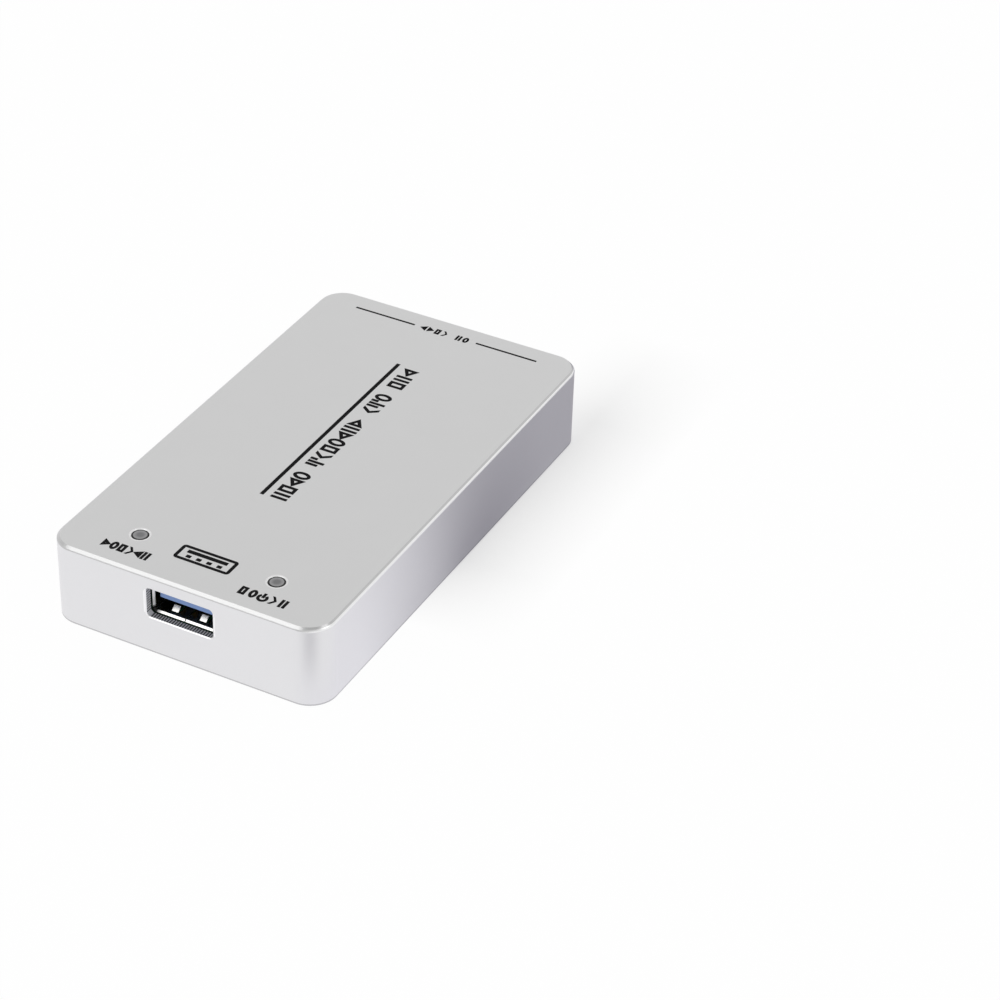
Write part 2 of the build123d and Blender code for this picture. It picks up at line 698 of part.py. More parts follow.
superspeed_path = [
    (pad_front, pad_level),
    (pad_rear, pad_level),
    (pad_rear, upper_level),
    (superspeed_tail, upper_level),
    (superspeed_tail, board_top),
]


def make_usb_insulator():
    """Moulding of block and tongue, with a slot for each contact."""
    block_width = USB_SHELL_WIDTH - 2 * SHEET - 2 * SOCKET_BLOCK_CLEARANCE
    block_height = USB_SHELL_HEIGHT - 2 * SHEET - 2 * SOCKET_BLOCK_CLEARANCE
    with BuildPart() as usb_insulator:
        with BuildSketch(facing(usb_block_front)):
            with Locations((USB_FROM_MIDDLE, usb_middle)):
                Rectangle(block_width, block_height)
        extrude(amount=-USB_BLOCK_LENGTH)
        fillet(usb_insulator.edges().filter_by(Axis.Y), USB_SHELL_RADIUS - SHEET)
        with BuildSketch(facing(usb_tongue_front)):
            with Locations((USB_FROM_MIDDLE, (usb_tongue_top + usb_tongue_bottom) / 2)):
                Rectangle(USB_TONGUE_WIDTH, USB_TONGUE_THICKNESS)
        extrude(amount=-(usb_block_front - usb_tongue_front))
        tip = usb_insulator.faces().sort_by(Axis.Y)[0]
        fillet(tip.edges().filter_by(Axis.Z), USB_TONGUE_ROUNDING)
        tip = usb_insulator.faces().sort_by(Axis.Y)[0]
        chamfer(tip.edges().filter_by(Axis.X), USB_TONGUE_ROUNDING / 2)
        contact_strips(data_path, USB_CONTACT_WIDTH, data_places, CONTACT_CLEARANCE, Mode.SUBTRACT)
        contact_strips(
            superspeed_path,
            SUPERSPEED_CONTACT_WIDTH,
            superspeed_places,
            CONTACT_CLEARANCE,
            Mode.SUBTRACT,
        )
    save(usb_insulator, "usb_insulator")


def make_usb_contacts():
    """Four spring contacts that bow down from the tongue, and five flat ones ahead of them."""
    with BuildPart() as usb_data_contacts:
        contact_strips(data_path, USB_CONTACT_WIDTH, data_places)
    save(usb_data_contacts, "usb_data_contacts")
    with BuildPart() as usb_superspeed_contacts:
        contact_strips(superspeed_path, SUPERSPEED_CONTACT_WIDTH, superspeed_places)
    save(usb_superspeed_contacts, "usb_superspeed_contacts")


# Video socket's tongue and block
hdmi_tongue_top = hdmi_floor + HDMI_OPENING_HEIGHT - HDMI_TONGUE_ABOVE
hdmi_tongue_bottom = hdmi_tongue_top - HDMI_TONGUE_THICKNESS
hdmi_tongue_front = hdmi_front - HDMI_TONGUE_SETBACK
hdmi_block_rear = hdmi_rear + HDMI_BLOCK_FROM_REAR
hdmi_block_front = hdmi_block_rear + HDMI_BLOCK_LENGTH
upper_places = row(HDMI_UPPER_COUNT, HDMI_CONTACT_PITCH)
lower_places = row(HDMI_LOWER_COUNT, HDMI_CONTACT_PITCH)
lower_tail = hdmi_block_rear - TAIL_SPACING / 2
upper_tail = lower_tail - TAIL_SPACING
upper_path = [
    (hdmi_tongue_front - HDMI_CONTACT_SETBACK, hdmi_tongue_top - CONTACT_THICKNESS / 2),
    (upper_tail, hdmi_tongue_top - CONTACT_THICKNESS / 2),
    (upper_tail, board_top),
]
lower_path = [
    (hdmi_tongue_front - HDMI_CONTACT_SETBACK, hdmi_tongue_bottom + CONTACT_THICKNESS / 2),
    (lower_tail, hdmi_tongue_bottom + CONTACT_THICKNESS / 2),
    (lower_tail, board_top),
]


def make_hdmi_shell():
    """Video socket's shell: a drawn-in sheet section with a lead-in, spring fingers and four legs."""
    with BuildPart() as hdmi_shell:
        with BuildSketch(facing(hdmi_front)):
            hdmi_outline(SHEET)
        extrude(amount=HDMI_SHELL_LENGTH)
        with BuildSketch(facing(hdmi_front)):
            hdmi_outline(0)
        extrude(amount=HDMI_SHELL_LENGTH, mode=Mode.SUBTRACT)
        with BuildSketch(facing(hdmi_front)):
            hdmi_outline(LEAD_IN)
        with BuildSketch(facing(hdmi_front - LEAD_IN_DEPTH)):
            hdmi_outline(0)
        loft(mode=Mode.SUBTRACT)

        with BuildSketch(Plane.XY.offset(hdmi_floor - SHEET)):
            with Locations((0, hdmi_rear + hdmi_tail_window / 2)):
                Rectangle(HDMI_OPENING_FLOOR, hdmi_tail_window)
        extrude(amount=SHEET, mode=Mode.SUBTRACT)
        spring_fingers(
            hdmi_front,
            -1,
            [-HDMI_FINGER_OFFSET, HDMI_FINGER_OFFSET],
            hdmi_floor - SHEET / 2,
            hdmi_shell_top - SHEET / 2,
        )
        shell_legs(hdmi_leg_places, hdmi_floor + HDMI_OPENING_HEIGHT - HDMI_OPENING_SIDE / 2)
    save(hdmi_shell, "hdmi_shell")


def make_hdmi_insulator():
    """Moulding of block and tongue, with a groove for each contact on both faces of the tongue."""
    with BuildPart() as hdmi_insulator:
        with BuildSketch(facing(hdmi_block_front)):
            hdmi_outline(-SOCKET_BLOCK_CLEARANCE)
        extrude(amount=HDMI_BLOCK_LENGTH)
        with BuildSketch(facing(hdmi_tongue_front)):
            with Locations((0, (hdmi_tongue_top + hdmi_tongue_bottom) / 2)):
                Rectangle(HDMI_TONGUE_WIDTH, HDMI_TONGUE_THICKNESS)
        extrude(amount=hdmi_tongue_front - hdmi_block_front)
        tip = hdmi_insulator.faces().sort_by(Axis.Y)[-1]
        chamfer(tip.edges().filter_by(Axis.X), HDMI_TONGUE_CHAMFER)
        contact_strips(upper_path, HDMI_CONTACT_WIDTH, upper_places, CONTACT_CLEARANCE, Mode.SUBTRACT)
        contact_strips(lower_path, HDMI_CONTACT_WIDTH, lower_places, CONTACT_CLEARANCE, Mode.SUBTRACT)
    save(hdmi_insulator, "hdmi_insulator")


def make_hdmi_contacts():
    """Two rows of strip contacts, one above the tongue and one below it."""
    with BuildPart() as hdmi_upper_contacts:
        contact_strips(upper_path, HDMI_CONTACT_WIDTH, upper_places)
    save(hdmi_upper_contacts, "hdmi_upper_contacts")
    with BuildPart() as hdmi_lower_contacts:
        contact_strips(lower_path, HDMI_CONTACT_WIDTH, lower_places)
    save(hdmi_lower_contacts, "hdmi_lower_contacts")


def make_shield_gaskets():
    """Conductive foam blocks that tie each shell to the roof."""
    reach = FINGER_ROOT + GASKET_FROM_FINGERS + GASKET_LENGTH / 2
    hdmi_reach = HDMI_SHELL_LENGTH - GASKET_LENGTH / 2
    gaskets = {
        "usb": (USB_FROM_MIDDLE, usb_front + reach, usb_shell_top, GASKET_LENGTH),
        "hdmi": (0, hdmi_front - hdmi_reach, hdmi_shell_top, GASKET_LENGTH - GASKET_FROM_FINGERS),
    }
    for name, (x, y, bottom, length) in gaskets.items():
        with BuildPart() as gasket:
            with BuildSketch(Plane.XY.offset(bottom)):
                with Locations((x, y)):
                    Rectangle(GASKET_WIDTH, length)
            extrude(amount=ceiling - bottom)
        save(gasket, f"{name}_shield_gasket")


def slanted_lead(width, reach, body_height, x=0.0):
    """One slanted lead in the plane across the box, from the chip's side at X down to the board."""
    middle = board_top + CHIP_STANDOFF + body_height / 2
    with BuildSketch(facing(width / 2)) as side_view:
        with BuildLine():
            Polyline(
                (x, middle + LEAD_THICKNESS / 2),
                (x, middle - LEAD_THICKNESS / 2),
                (x + reach * LEAD_FOOT_SHARE, board_top),
                (x + reach, board_top),
                close=True,
            )
        make_face()
    extrude(side_view.sketch, amount=width)


def chip_body(places, across, along, height):
    """Moulded chip bodies that stand a little off the board."""
    with BuildSketch(Plane.XY.offset(board_top + CHIP_STANDOFF)) as outlines:
        with Locations(*places):
            Rectangle(across, along)
    extrude(outlines.sketch, amount=height)


def make_video_receiver():
    """Square video receiver chip and its leads, as many on each of the four sides."""
    with BuildPart() as video_receiver:
        chip_body([(0, receiver_y)], receiver_size, receiver_size, RECEIVER_HEIGHT)
        chamfer(video_receiver.faces().sort_by(Axis.Z)[-1].edges(), CHIP_BEVEL)
    save(video_receiver, "video_receiver")
    with BuildPart() as lead:
        slanted_lead(RECEIVER_LEAD_WIDTH, LEAD_REACH, RECEIVER_HEIGHT, receiver_size / 2)
    with BuildPart() as video_receiver_leads:
        with Locations((0, receiver_y)):
            with PolarLocations(0, 4):
                with GridLocations(0, receiver_pitch, 1, RECEIVER_LEADS_PER_SIDE):
                    add(lead.part)
    save(video_receiver_leads, "video_receiver_leads")


def make_video_processor():
    """Ball-mounted processor: a thin substrate with a smaller moulded cap."""
    cap_size = processor_size - 2 * PROCESSOR_CAP_MARGIN
    with BuildPart() as video_processor:
        with BuildSketch(Plane.XY.offset(board_top + BALL_GAP)):
            Rectangle(processor_size, processor_size)
        extrude(amount=PROCESSOR_SUBSTRATE)
        with BuildSketch(Plane.XY.offset(board_top + BALL_GAP + PROCESSOR_SUBSTRATE)):
            Rectangle(cap_size, cap_size)
        extrude(amount=PROCESSOR_CAP_HEIGHT)
        chamfer(video_processor.faces().sort_by(Axis.Z)[-1].edges(), CHIP_BEVEL)
    save(video_processor, "video_processor")


def make_thermal_pads():
    """Soft pads between the two hot chips and the heat blocks of the roof."""
    pads = {
        "receiver": (receiver_y, receiver_top, receiver_pad_size),
        "processor": (0, processor_top, processor_pad_size),
    }
    for name, (y, bottom, size) in pads.items():
        with BuildPart() as thermal_pad:
            with BuildSketch(Plane.XY.offset(bottom)):
                with Locations((0, y)):
                    Rectangle(size, size)
            extrude(amount=THERMAL_PAD_THICKNESS)
        save(thermal_pad, f"{name}_thermal_pad")


def make_plain_chips():
    """Ball-mounted chips with no cap: the bus bridge and the frame memory."""
    chips = {
        "usb_bridge": ((0, bridge_y), bridge_size, bridge_size, BRIDGE_HEIGHT),
        "frame_memory": (
            (-column_x, MEMORY_PLACE_SHARE * half_board),
            memory_width,
            memory_length,
            MEMORY_HEIGHT,
        ),
    }
    for name, (place, across, along, height) in chips.items():
        with BuildPart() as chip:
            with BuildSketch(Plane.XY.offset(board_top + BALL_GAP)):
                with Locations(place):
                    Rectangle(across, along)
            extrude(amount=height)
            chamfer(chip.faces().sort_by(Axis.Z)[-1].edges(), CHIP_BEVEL)
        save(chip, name)


def paired_leads(lead, places, count, pitch):
    """Copies of a lead along both long sides of each chip."""
    with Locations(*places):
        with PolarLocations(0, 2):
            with GridLocations(0, pitch, 1, count):
                add(lead.part)


def make_small_memories():
    """Eight-lead memories: one for the firmware and one for the display data."""
    memories = {
        "flash_memory": (-column_x, FLASH_PLACE_SHARE * half_board),
        "display_data_memory": (-column_x, DISPLAY_MEMORY_PLACE_SHARE * half_board),
    }
    with BuildPart() as lead:
        slanted_lead(SMALL_CHIP_LEAD_WIDTH, LEAD_REACH, SMALL_CHIP_HEIGHT, SMALL_CHIP_WIDTH / 2)
    for name, place in memories.items():
        with BuildPart() as memory:
            chip_body([place], SMALL_CHIP_WIDTH, SMALL_CHIP_LENGTH, SMALL_CHIP_HEIGHT)
            chamfer(memory.faces().sort_by(Axis.Z)[-1].edges(), CHIP_BEVEL)
        save(memory, name)
        with BuildPart() as memory_leads:
            paired_leads(lead, [place], SMALL_CHIP_LEADS_PER_SIDE, SMALL_CHIP_LEAD_PITCH)
        save(memory_leads, f"{name}_leads")


# Power parts stand in pairs: an inductor on the inside of the right column, its regulator outside it
inductor_x = ring_reach + COLUMN_GAP + inductor_size / 2
regulator_x = board_width / 2 - COLUMN_GAP - REGULATOR_WIDTH / 2 - REGULATOR_LEAD_REACH
power_ys = [share * half_board for share in INDUCTOR_PLACE_SHARES]


def make_power_parts():
    """Shielded inductors with a stepped top, and their regulators with leads."""
    with BuildPart() as power_inductors:
        with BuildSketch(Plane.XY.offset(board_top)) as cases:
            with Locations(*[(inductor_x, y) for y in power_ys]):
                Rectangle(inductor_size, inductor_size)
            chamfer(cases.vertices(), INDUCTOR_CORNER)
        extrude(amount=INDUCTOR_HEIGHT - INDUCTOR_LID_DEPTH)
        with BuildSketch(Plane.XY.offset(board_top + INDUCTOR_HEIGHT - INDUCTOR_LID_DEPTH)) as lids:
            with Locations(*[(inductor_x, y) for y in power_ys]):
                Rectangle(inductor_size - 2 * INDUCTOR_LID_MARGIN, inductor_size - 2 * INDUCTOR_LID_MARGIN)
            chamfer(lids.vertices(), INDUCTOR_CORNER)
        extrude(amount=INDUCTOR_LID_DEPTH)
    save(power_inductors, "power_inductors")
    places = [(regulator_x, y) for y in power_ys]
    with BuildPart() as voltage_regulators:
        chip_body(places, REGULATOR_WIDTH, REGULATOR_LENGTH, REGULATOR_HEIGHT)
        top_edges = voltage_regulators.edges().group_by(Axis.Z)[-1]
        chamfer(top_edges, CHIP_BEVEL / 2)
    save(voltage_regulators, "voltage_regulators")
    with BuildPart() as lead:
        slanted_lead(REGULATOR_LEAD_WIDTH, REGULATOR_LEAD_REACH, REGULATOR_HEIGHT, REGULATOR_WIDTH / 2)
    with BuildPart() as voltage_regulator_leads:
        paired_leads(lead, places, REGULATOR_LEADS_PER_SIDE, REGULATOR_LEAD_PITCH)
    save(voltage_regulator_leads, "voltage_regulator_leads")


def make_crystals():
    """Clock crystals: a ceramic base with a metal lid set in from its edge."""
    crystals = {
        "receiver_crystal": (receiver_size / 2 + LEAD_REACH + ROW_GAP + CRYSTAL_LENGTH / 2, receiver_y),
        "bridge_crystal": (bridge_size / 2 + ROW_GAP + CRYSTAL_LENGTH / 2, bridge_y),
    }
    for name, place in crystals.items():
        with BuildPart() as crystal:
            with BuildSketch(Plane.XY.offset(board_top)):
                with Locations(place):
                    Rectangle(CRYSTAL_LENGTH, CRYSTAL_WIDTH)
            extrude(amount=CRYSTAL_BASE)
            with BuildSketch(Plane.XY.offset(board_top + CRYSTAL_BASE)):
                with Locations(place):
                    Rectangle(
                        CRYSTAL_LENGTH - 2 * CRYSTAL_LID_MARGIN,
                        CRYSTAL_WIDTH - 2 * CRYSTAL_LID_MARGIN,
                    )
            extrude(amount=CRYSTAL_LID)
        save(crystal, name)


def make_tantalum_capacitors():
    """Moulded capacitors: a straight lower half and an upper half that draws in."""
    places = [(-column_x, share * half_board) for share in TANTALUM_PLACE_SHARES]
    with BuildPart() as tantalum_capacitors:
        with BuildSketch(Plane.XY.offset(board_top)):
            with Locations(*places):
                Rectangle(TANTALUM_LENGTH, TANTALUM_WIDTH)
        extrude(amount=TANTALUM_SPLIT)
        for place in places:
            with BuildSketch(Plane.XY.offset(board_top + TANTALUM_SPLIT)):
                with Locations(place):
                    Rectangle(TANTALUM_LENGTH, TANTALUM_WIDTH)
            with BuildSketch(Plane.XY.offset(board_top + TANTALUM_HEIGHT)):
                with Locations(place):
                    Rectangle(TANTALUM_LENGTH - 2 * TANTALUM_DRAFT, TANTALUM_WIDTH - 2 * TANTALUM_DRAFT)
            loft()
    save(tantalum_capacitors, "tantalum_capacitors")


def make_bulk_capacitor():
    """Round can with a crimped neck, on a square base with two cut corners."""
    place = (column_x, CAN_PLACE_SHARE * half_board)
    with BuildPart() as bulk_capacitor_base:
        with BuildSketch(Plane.XY.offset(board_top)) as base_outline:
            with Locations(place):
                Rectangle(CAN_BASE_SIZE, CAN_BASE_SIZE)
            chamfer(base_outline.vertices().group_by(Axis.X)[-1], CAN_BASE_CORNER)
        extrude(amount=CAN_BASE_HEIGHT)
    save(bulk_capacitor_base, "bulk_capacitor_base")
    can_bottom = board_top + CAN_BASE_HEIGHT
    neck_bottom = can_bottom + CAN_SHOULDER
    with BuildPart() as bulk_capacitor_can:
        with BuildSketch(Plane.XY.offset(can_bottom)):
            with Locations(place):
                Circle(CAN_DIAMETER / 2)
        extrude(amount=CAN_HEIGHT)
        with BuildSketch(Plane.XY.offset(neck_bottom)):
            with Locations(place):
                Circle(CAN_DIAMETER / 2 + OVERRUN)
                Circle(CAN_DIAMETER / 2 - CAN_NECK_DEPTH, mode=Mode.SUBTRACT)
        extrude(amount=CAN_NECK_HEIGHT, mode=Mode.SUBTRACT)
    save(bulk_capacitor_can, "bulk_capacitor_can")


def make_line_parts():
    """Surge arrays behind the rear socket, line filters and the input fuse behind the front one."""
    with BuildPart() as surge_arrays:
        with BuildSketch(Plane.XY.offset(board_top)):
            with Locations(*[(x, surge_y) for x in row(SURGE_COUNT, SURGE_PITCH)]):
                Rectangle(SURGE_LENGTH, SURGE_WIDTH)
        extrude(amount=SURGE_HEIGHT)
    save(surge_arrays, "surge_arrays")
    with BuildPart() as line_filters:
        with BuildSketch(Plane.XY.offset(board_top)):
            with Locations(*[(USB_FROM_MIDDLE + x, filter_y) for x in row(FILTER_COUNT, FILTER_PITCH)]):
                Rectangle(FILTER_WIDTH, FILTER_LENGTH)
        extrude(amount=FILTER_HEIGHT)
        chamfer(line_filters.edges().group_by(Axis.Z)[-1], FILTER_CHAMFER)
    save(line_filters, "line_filters")
    fuse_x = USB_FROM_MIDDLE + FILTER_PITCH * FILTER_COUNT / 2 + ROW_GAP + FUSE_LENGTH / 2
    with BuildPart() as input_fuse:
        with BuildSketch(Plane.XY.offset(board_top)):
            with Locations((fuse_x, filter_y)):
                Rectangle(FUSE_LENGTH, FUSE_WIDTH)
        extrude(amount=FUSE_HEIGHT)
    save(input_fuse, "input_fuse")


def make_chip_capacitors():
    """Small capacitors: a ring of them round the processor and a patch under it."""
    ring = ring_reach - CHIP_CAPACITOR_LENGTH / 2
    with BuildPart() as decoupling_capacitors:
        with BuildSketch(Plane.XY.offset(board_top)):
            with PolarLocations(0, 4):
                with Locations(*[(ring, y) for y in row(CAPACITORS_PER_SIDE, CHIP_CAPACITOR_PITCH)]):
                    Rectangle(CHIP_CAPACITOR_LENGTH, CHIP_CAPACITOR_WIDTH)
        extrude(amount=CHIP_CAPACITOR_HEIGHT)
    save(decoupling_capacitors, "decoupling_capacitors")
    with BuildPart() as underside_capacitors:
        with BuildSketch(Plane.XY.offset(board_bottom)):
            with GridLocations(
                CHIP_CAPACITOR_PITCH,
                CHIP_CAPACITOR_PITCH,
                UNDERSIDE_COLUMNS,
                UNDERSIDE_ROWS,
            ):
                Rectangle(CHIP_CAPACITOR_LENGTH, CHIP_CAPACITOR_WIDTH)
        extrude(amount=-CHIP_CAPACITOR_HEIGHT)
    save(underside_capacitors, "underside_capacitors")


def make_resistors():
    """Row of terminating resistors beside the receiver's left side."""
    first = -(receiver_size / 2 + LEAD_REACH + ROW_GAP / 2 + RESISTOR_LENGTH / 2)
    with BuildPart() as resistors:
        with BuildSketch(Plane.XY.offset(board_top)):
            with Locations(*[(first, receiver_y + y) for y in row(RESISTOR_COUNT, RESISTOR_PITCH)]):
                Rectangle(RESISTOR_LENGTH, RESISTOR_WIDTH)
        extrude(amount=RESISTOR_HEIGHT)
    save(resistors, "resistors")


make_housing_shell()
make_base_plate()
make_feet()
make_base_screws()
make_insulating_sheet()
make_light_pipes()
make_main_board()
make_lamps()
make_usb_shell()
make_usb_insulator()
make_usb_contacts()
make_hdmi_shell()
make_hdmi_insulator()
make_hdmi_contacts()
make_shield_gaskets()
make_video_receiver()
make_video_processor()
make_thermal_pads()
make_plain_chips()
make_small_memories()
make_power_parts()
make_crystals()
make_tantalum_capacitors()
make_bulk_capacitor()
make_line_parts()
make_chip_capacitors()
make_resistors()
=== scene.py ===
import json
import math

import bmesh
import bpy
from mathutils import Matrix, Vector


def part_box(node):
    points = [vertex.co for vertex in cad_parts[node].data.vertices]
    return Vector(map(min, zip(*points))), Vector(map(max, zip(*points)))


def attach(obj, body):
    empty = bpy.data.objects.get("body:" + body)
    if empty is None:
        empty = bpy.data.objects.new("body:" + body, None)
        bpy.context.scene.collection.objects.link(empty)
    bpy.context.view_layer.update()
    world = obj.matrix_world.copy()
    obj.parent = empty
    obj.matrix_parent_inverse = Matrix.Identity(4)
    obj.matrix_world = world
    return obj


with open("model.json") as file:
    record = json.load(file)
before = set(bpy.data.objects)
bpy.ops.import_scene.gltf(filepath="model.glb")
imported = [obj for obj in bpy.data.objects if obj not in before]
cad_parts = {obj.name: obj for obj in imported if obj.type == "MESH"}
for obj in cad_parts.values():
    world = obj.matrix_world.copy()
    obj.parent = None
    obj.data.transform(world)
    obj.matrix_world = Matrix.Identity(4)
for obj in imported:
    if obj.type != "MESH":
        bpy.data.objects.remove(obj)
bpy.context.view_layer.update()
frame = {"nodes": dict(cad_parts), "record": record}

# %% [markdown]
# # A video capture box
#
# The real object is a small flat box, milled from one block of aluminium, with a socket in each end and
# two indicator lenses in its top. The engineering model gives every solid part at its true size. This
# lesson dresses that model: it mixes a finish for each part, prints the marks on the lid, and then sets
# up a pale table, soft lamps and a camera.
#
# Lengths are in metres in Blender. People measure a box like this in millimetres, so the lesson writes
# millimetres and multiplies by MM.

MM = 0.001

# %% [markdown]
# ## Writing a finish as sums
#
# A finish is a small net of nodes. Drawn in the editor it is easy to read, but in a script the links
# between Math nodes soon hide what is worked out. So a value here is a small object that knows its
# socket, and an expression such as `1 - grain * 0.2` adds the Math nodes by itself. Every other kind of
# node comes from one method, `put`, which takes the node's type, its settings and what goes into it.


# %% Values that can be added and multiplied
class Value:
    """A socket that takes part in sums: each operator adds the Math nodes that it needs."""

    def __init__(self, net, socket):
        self.net = net
        self.socket = socket

    def math(self, operation, *others):
        inputs = dict(enumerate((self, *others)))
        return self.net.put("ShaderNodeMath", {"operation": operation}, inputs)

    def __add__(self, other):
        return self.math("ADD", other)

    def __sub__(self, other):
        return self.math("SUBTRACT", other)

    def __rsub__(self, other):
        return self * -1 + other

    def __mul__(self, other):
        return self.math("MULTIPLY", other)

    def __abs__(self):
        return self.math("ABSOLUTE")

    __radd__ = __add__
    __rmul__ = __mul__

    def above(self, limit):
        """1 where the value is over the limit, and 0 elsewhere."""
        return self.math("GREATER_THAN", limit)

    def below(self, limit):
        """1 where the value is under the limit, and 0 elsewhere."""
        return self.math("LESS_THAN", limit)

    def between(self, low, high):
        return self.above(low) * self.below(high)

    def ramp(self, low, high):
        """0 at or below low, 1 at or above high, and a straight climb between them."""
        settings = {"clamp": True}
        inputs = {"Value": self, "From Min": low, "From Max": high}
        return self.net.put("ShaderNodeMapRange", settings, inputs)

    def plateau(self, climb, descent):
        """A ramp up between the two places of climb, and down again between those of descent."""
        return self.ramp(*climb) * (1 - self.ramp(*descent))


class Net:
    """A node tree with one method that adds any node."""

    def __init__(self, tree):
        self.tree = tree
        tree.nodes.clear()

    def put(self, kind, settings=None, inputs=None, output=0):
        """Add a node, set it, link or fill its sockets, and give one of its outputs."""
        node = self.tree.nodes.new(kind)
        for name, setting in (settings or {}).items():
            setattr(node, name, setting)
        for name, given in (inputs or {}).items():
            socket = node.inputs[name]
            if isinstance(given, Value):
                self.tree.links.new(given.socket, socket)
            elif socket.type == "RGBA":
                socket.default_value = (*given, 1)
            else:
                socket.default_value = given
        return Value(self, node.outputs[output]) if node.outputs else None

    def parts(self, vector):
        """The x, y and z of a vector."""
        kind = "ShaderNodeSeparateXYZ"
        return [self.put(kind, None, {"Vector": vector}, output=axis) for axis in range(3)]

    def rays(self):
        """Whether a ray comes from the camera, from a reflection or through glass."""
        kinds = ("Camera", "Glossy", "Transmission")
        return [self.put("ShaderNodeLightPath", output=f"Is {kind} Ray") for kind in kinds]


# %% [markdown]
# ## What finishes have in common
#
# Metal, plastic and rubber all have grain, and grain is noise at the right size. The patterns read the
# Object coordinates: a part's object sits at the origin, so these are the same millimetres that the
# parts were designed in, and a grain of 0.2 mm is 0.2 mm on the real box. The noise is stretched along
# the direction of brushing or rolling where a part was brushed or rolled.

# %% One finish: its place on the part, its grains and its shader
finishes = {}


class Finish(Net):
    """A material, with the helpers that most finishes of this box need."""

    def __init__(self, name):
        self.name = name
        self.material = bpy.data.materials.new(name)
        self.material.use_nodes = True
        super().__init__(self.material.node_tree)
        place = self.put("ShaderNodeTexCoord", output="Object")
        in_millimetres = {"Vector": place, "Scale": 1 / MM}
        self.place = self.put("ShaderNodeVectorMath", {"operation": "SCALE"}, in_millimetres)
        self.x, self.y, self.z = self.parts(self.place)

    def lean(self):
        """How far the surface faces right, back and up, each from -1 to 1."""
        return self.parts(self.put("ShaderNodeNewGeometry", output="Normal"))

    def grain(self, size, stretch=(1, 1, 1), detail=2.0):
        """Noise from 0 to 1 whose lumps are about size millimetres across, times stretch on each axis."""
        inputs = {0: self.place, 1: tuple(size * share for share in stretch)}
        spot = self.put("ShaderNodeVectorMath", {"operation": "DIVIDE"}, inputs)
        noise = {"Vector": spot, "Scale": 1.0, "Detail": detail, "Roughness": 0.55}
        return self.put("ShaderNodeTexNoise", {"noise_dimensions": "3D"}, noise)

    def cells(self, size):
        """Distance from the nearest of many scattered points, which lie about size millimetres apart."""
        inputs = {"Vector": self.place, "Scale": 1 / size}
        return self.put("ShaderNodeTexVoronoi", {"feature": "F1"}, inputs)

    def colour(self, low, high, share):
        """A colour that goes from low to high as share goes from 0 to 1."""
        inputs = {0: share, 6: low, 7: high}
        return self.put("ShaderNodeMix", {"data_type": "RGBA"}, inputs, output=2)

    def finish(self, colour, roughness, relief, depth, metallic=0.0, others=None):
        """Keep the finish. Relief goes from 0 to 1, and depth is the height of 1 in millimetres."""
        bump = {"Height": relief, "Distance": depth * MM, "Strength": 1.0}
        inputs = {
            "Base Color": colour,
            "Roughness": roughness,
            "Metallic": metallic,
            "Normal": self.put("ShaderNodeBump", None, bump),
            **(others or {}),
        }
        shader = self.put("ShaderNodeBsdfPrincipled", None, inputs)
        self.put("ShaderNodeOutputMaterial", None, {"Surface": shader})
        finishes[self.name] = self.material
        print("finish", self.name, "takes", len(self.tree.nodes), "nodes")


def grey(tone):
    """A colour with no tint."""
    return (tone, tone, tone)


def wave(place, pitch):
    """A wave from -1 to 1 that repeats every pitch millimetres."""
    return (place * (2 * math.pi / pitch)).math("SINE")


# %% [markdown]
# ## Where things are on the box
#
# Three finishes change at features of the box: round the two lenses, round the front window and at the
# mouth of the front socket. A pattern finds a feature by its distance from it, so the places come first.
# They are read from the model's own parts where a part shows them. The front window is a hole in the
# housing and has no part of its own, so its sizes are written down: it is a rectangle with rounded
# corners, measured over the bevel round it.

# %% Places and distances, in millimetres
shell_low, shell_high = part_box("housing_shell")
socket_low, socket_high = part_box("usb_shell")
guide_low, guide_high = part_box("power_light_pipe")
FRONT = shell_low.y / MM
FOOT = shell_low.z / MM
SIDE = shell_high.x / MM
LID = shell_high.z / MM
SOCKET_MIDDLE = (socket_low.x + socket_high.x) / 2 / MM
SOCKET_FRONT = socket_low.y / MM
LENS_ASIDE = (guide_low.x + guide_high.x) / 2 / MM - SOCKET_MIDDLE
LENS_Y = (guide_low.y + guide_high.y) / 2 / MM
WINDOW_Z = 10.6
WINDOW_HALF_WIDTH = 7.0
WINDOW_HALF_HEIGHT = 3.25
WINDOW_CORNER = 1.2


def aside(finish):
    """How far a point lies to either side of the socket's middle."""
    return abs(finish.x - SOCKET_MIDDLE)


def distance(across, along):
    """The length of two steps that are taken at a right angle."""
    return (across * across + along * along).math("SQRT")


def from_lens(finish):
    """Distance from the middle of the nearer lens, seen from above."""
    return distance(aside(finish) - LENS_ASIDE, finish.y - LENS_Y)


def from_window(finish):
    """A distance that is WINDOW_CORNER all along the window's outline, and more outside it."""
    across = aside(finish) - (WINDOW_HALF_WIDTH - WINDOW_CORNER)
    up = abs(finish.z - WINDOW_Z) - (WINDOW_HALF_HEIGHT - WINDOW_CORNER)
    return distance(across.math("MAXIMUM", 0), up.math("MAXIMUM", 0))


print("the lenses stand", round(LENS_ASIDE, 2), "mm either side of the socket's middle")
print("the front socket starts", round(SOCKET_FRONT - FRONT, 2), "mm behind the front wall's face")
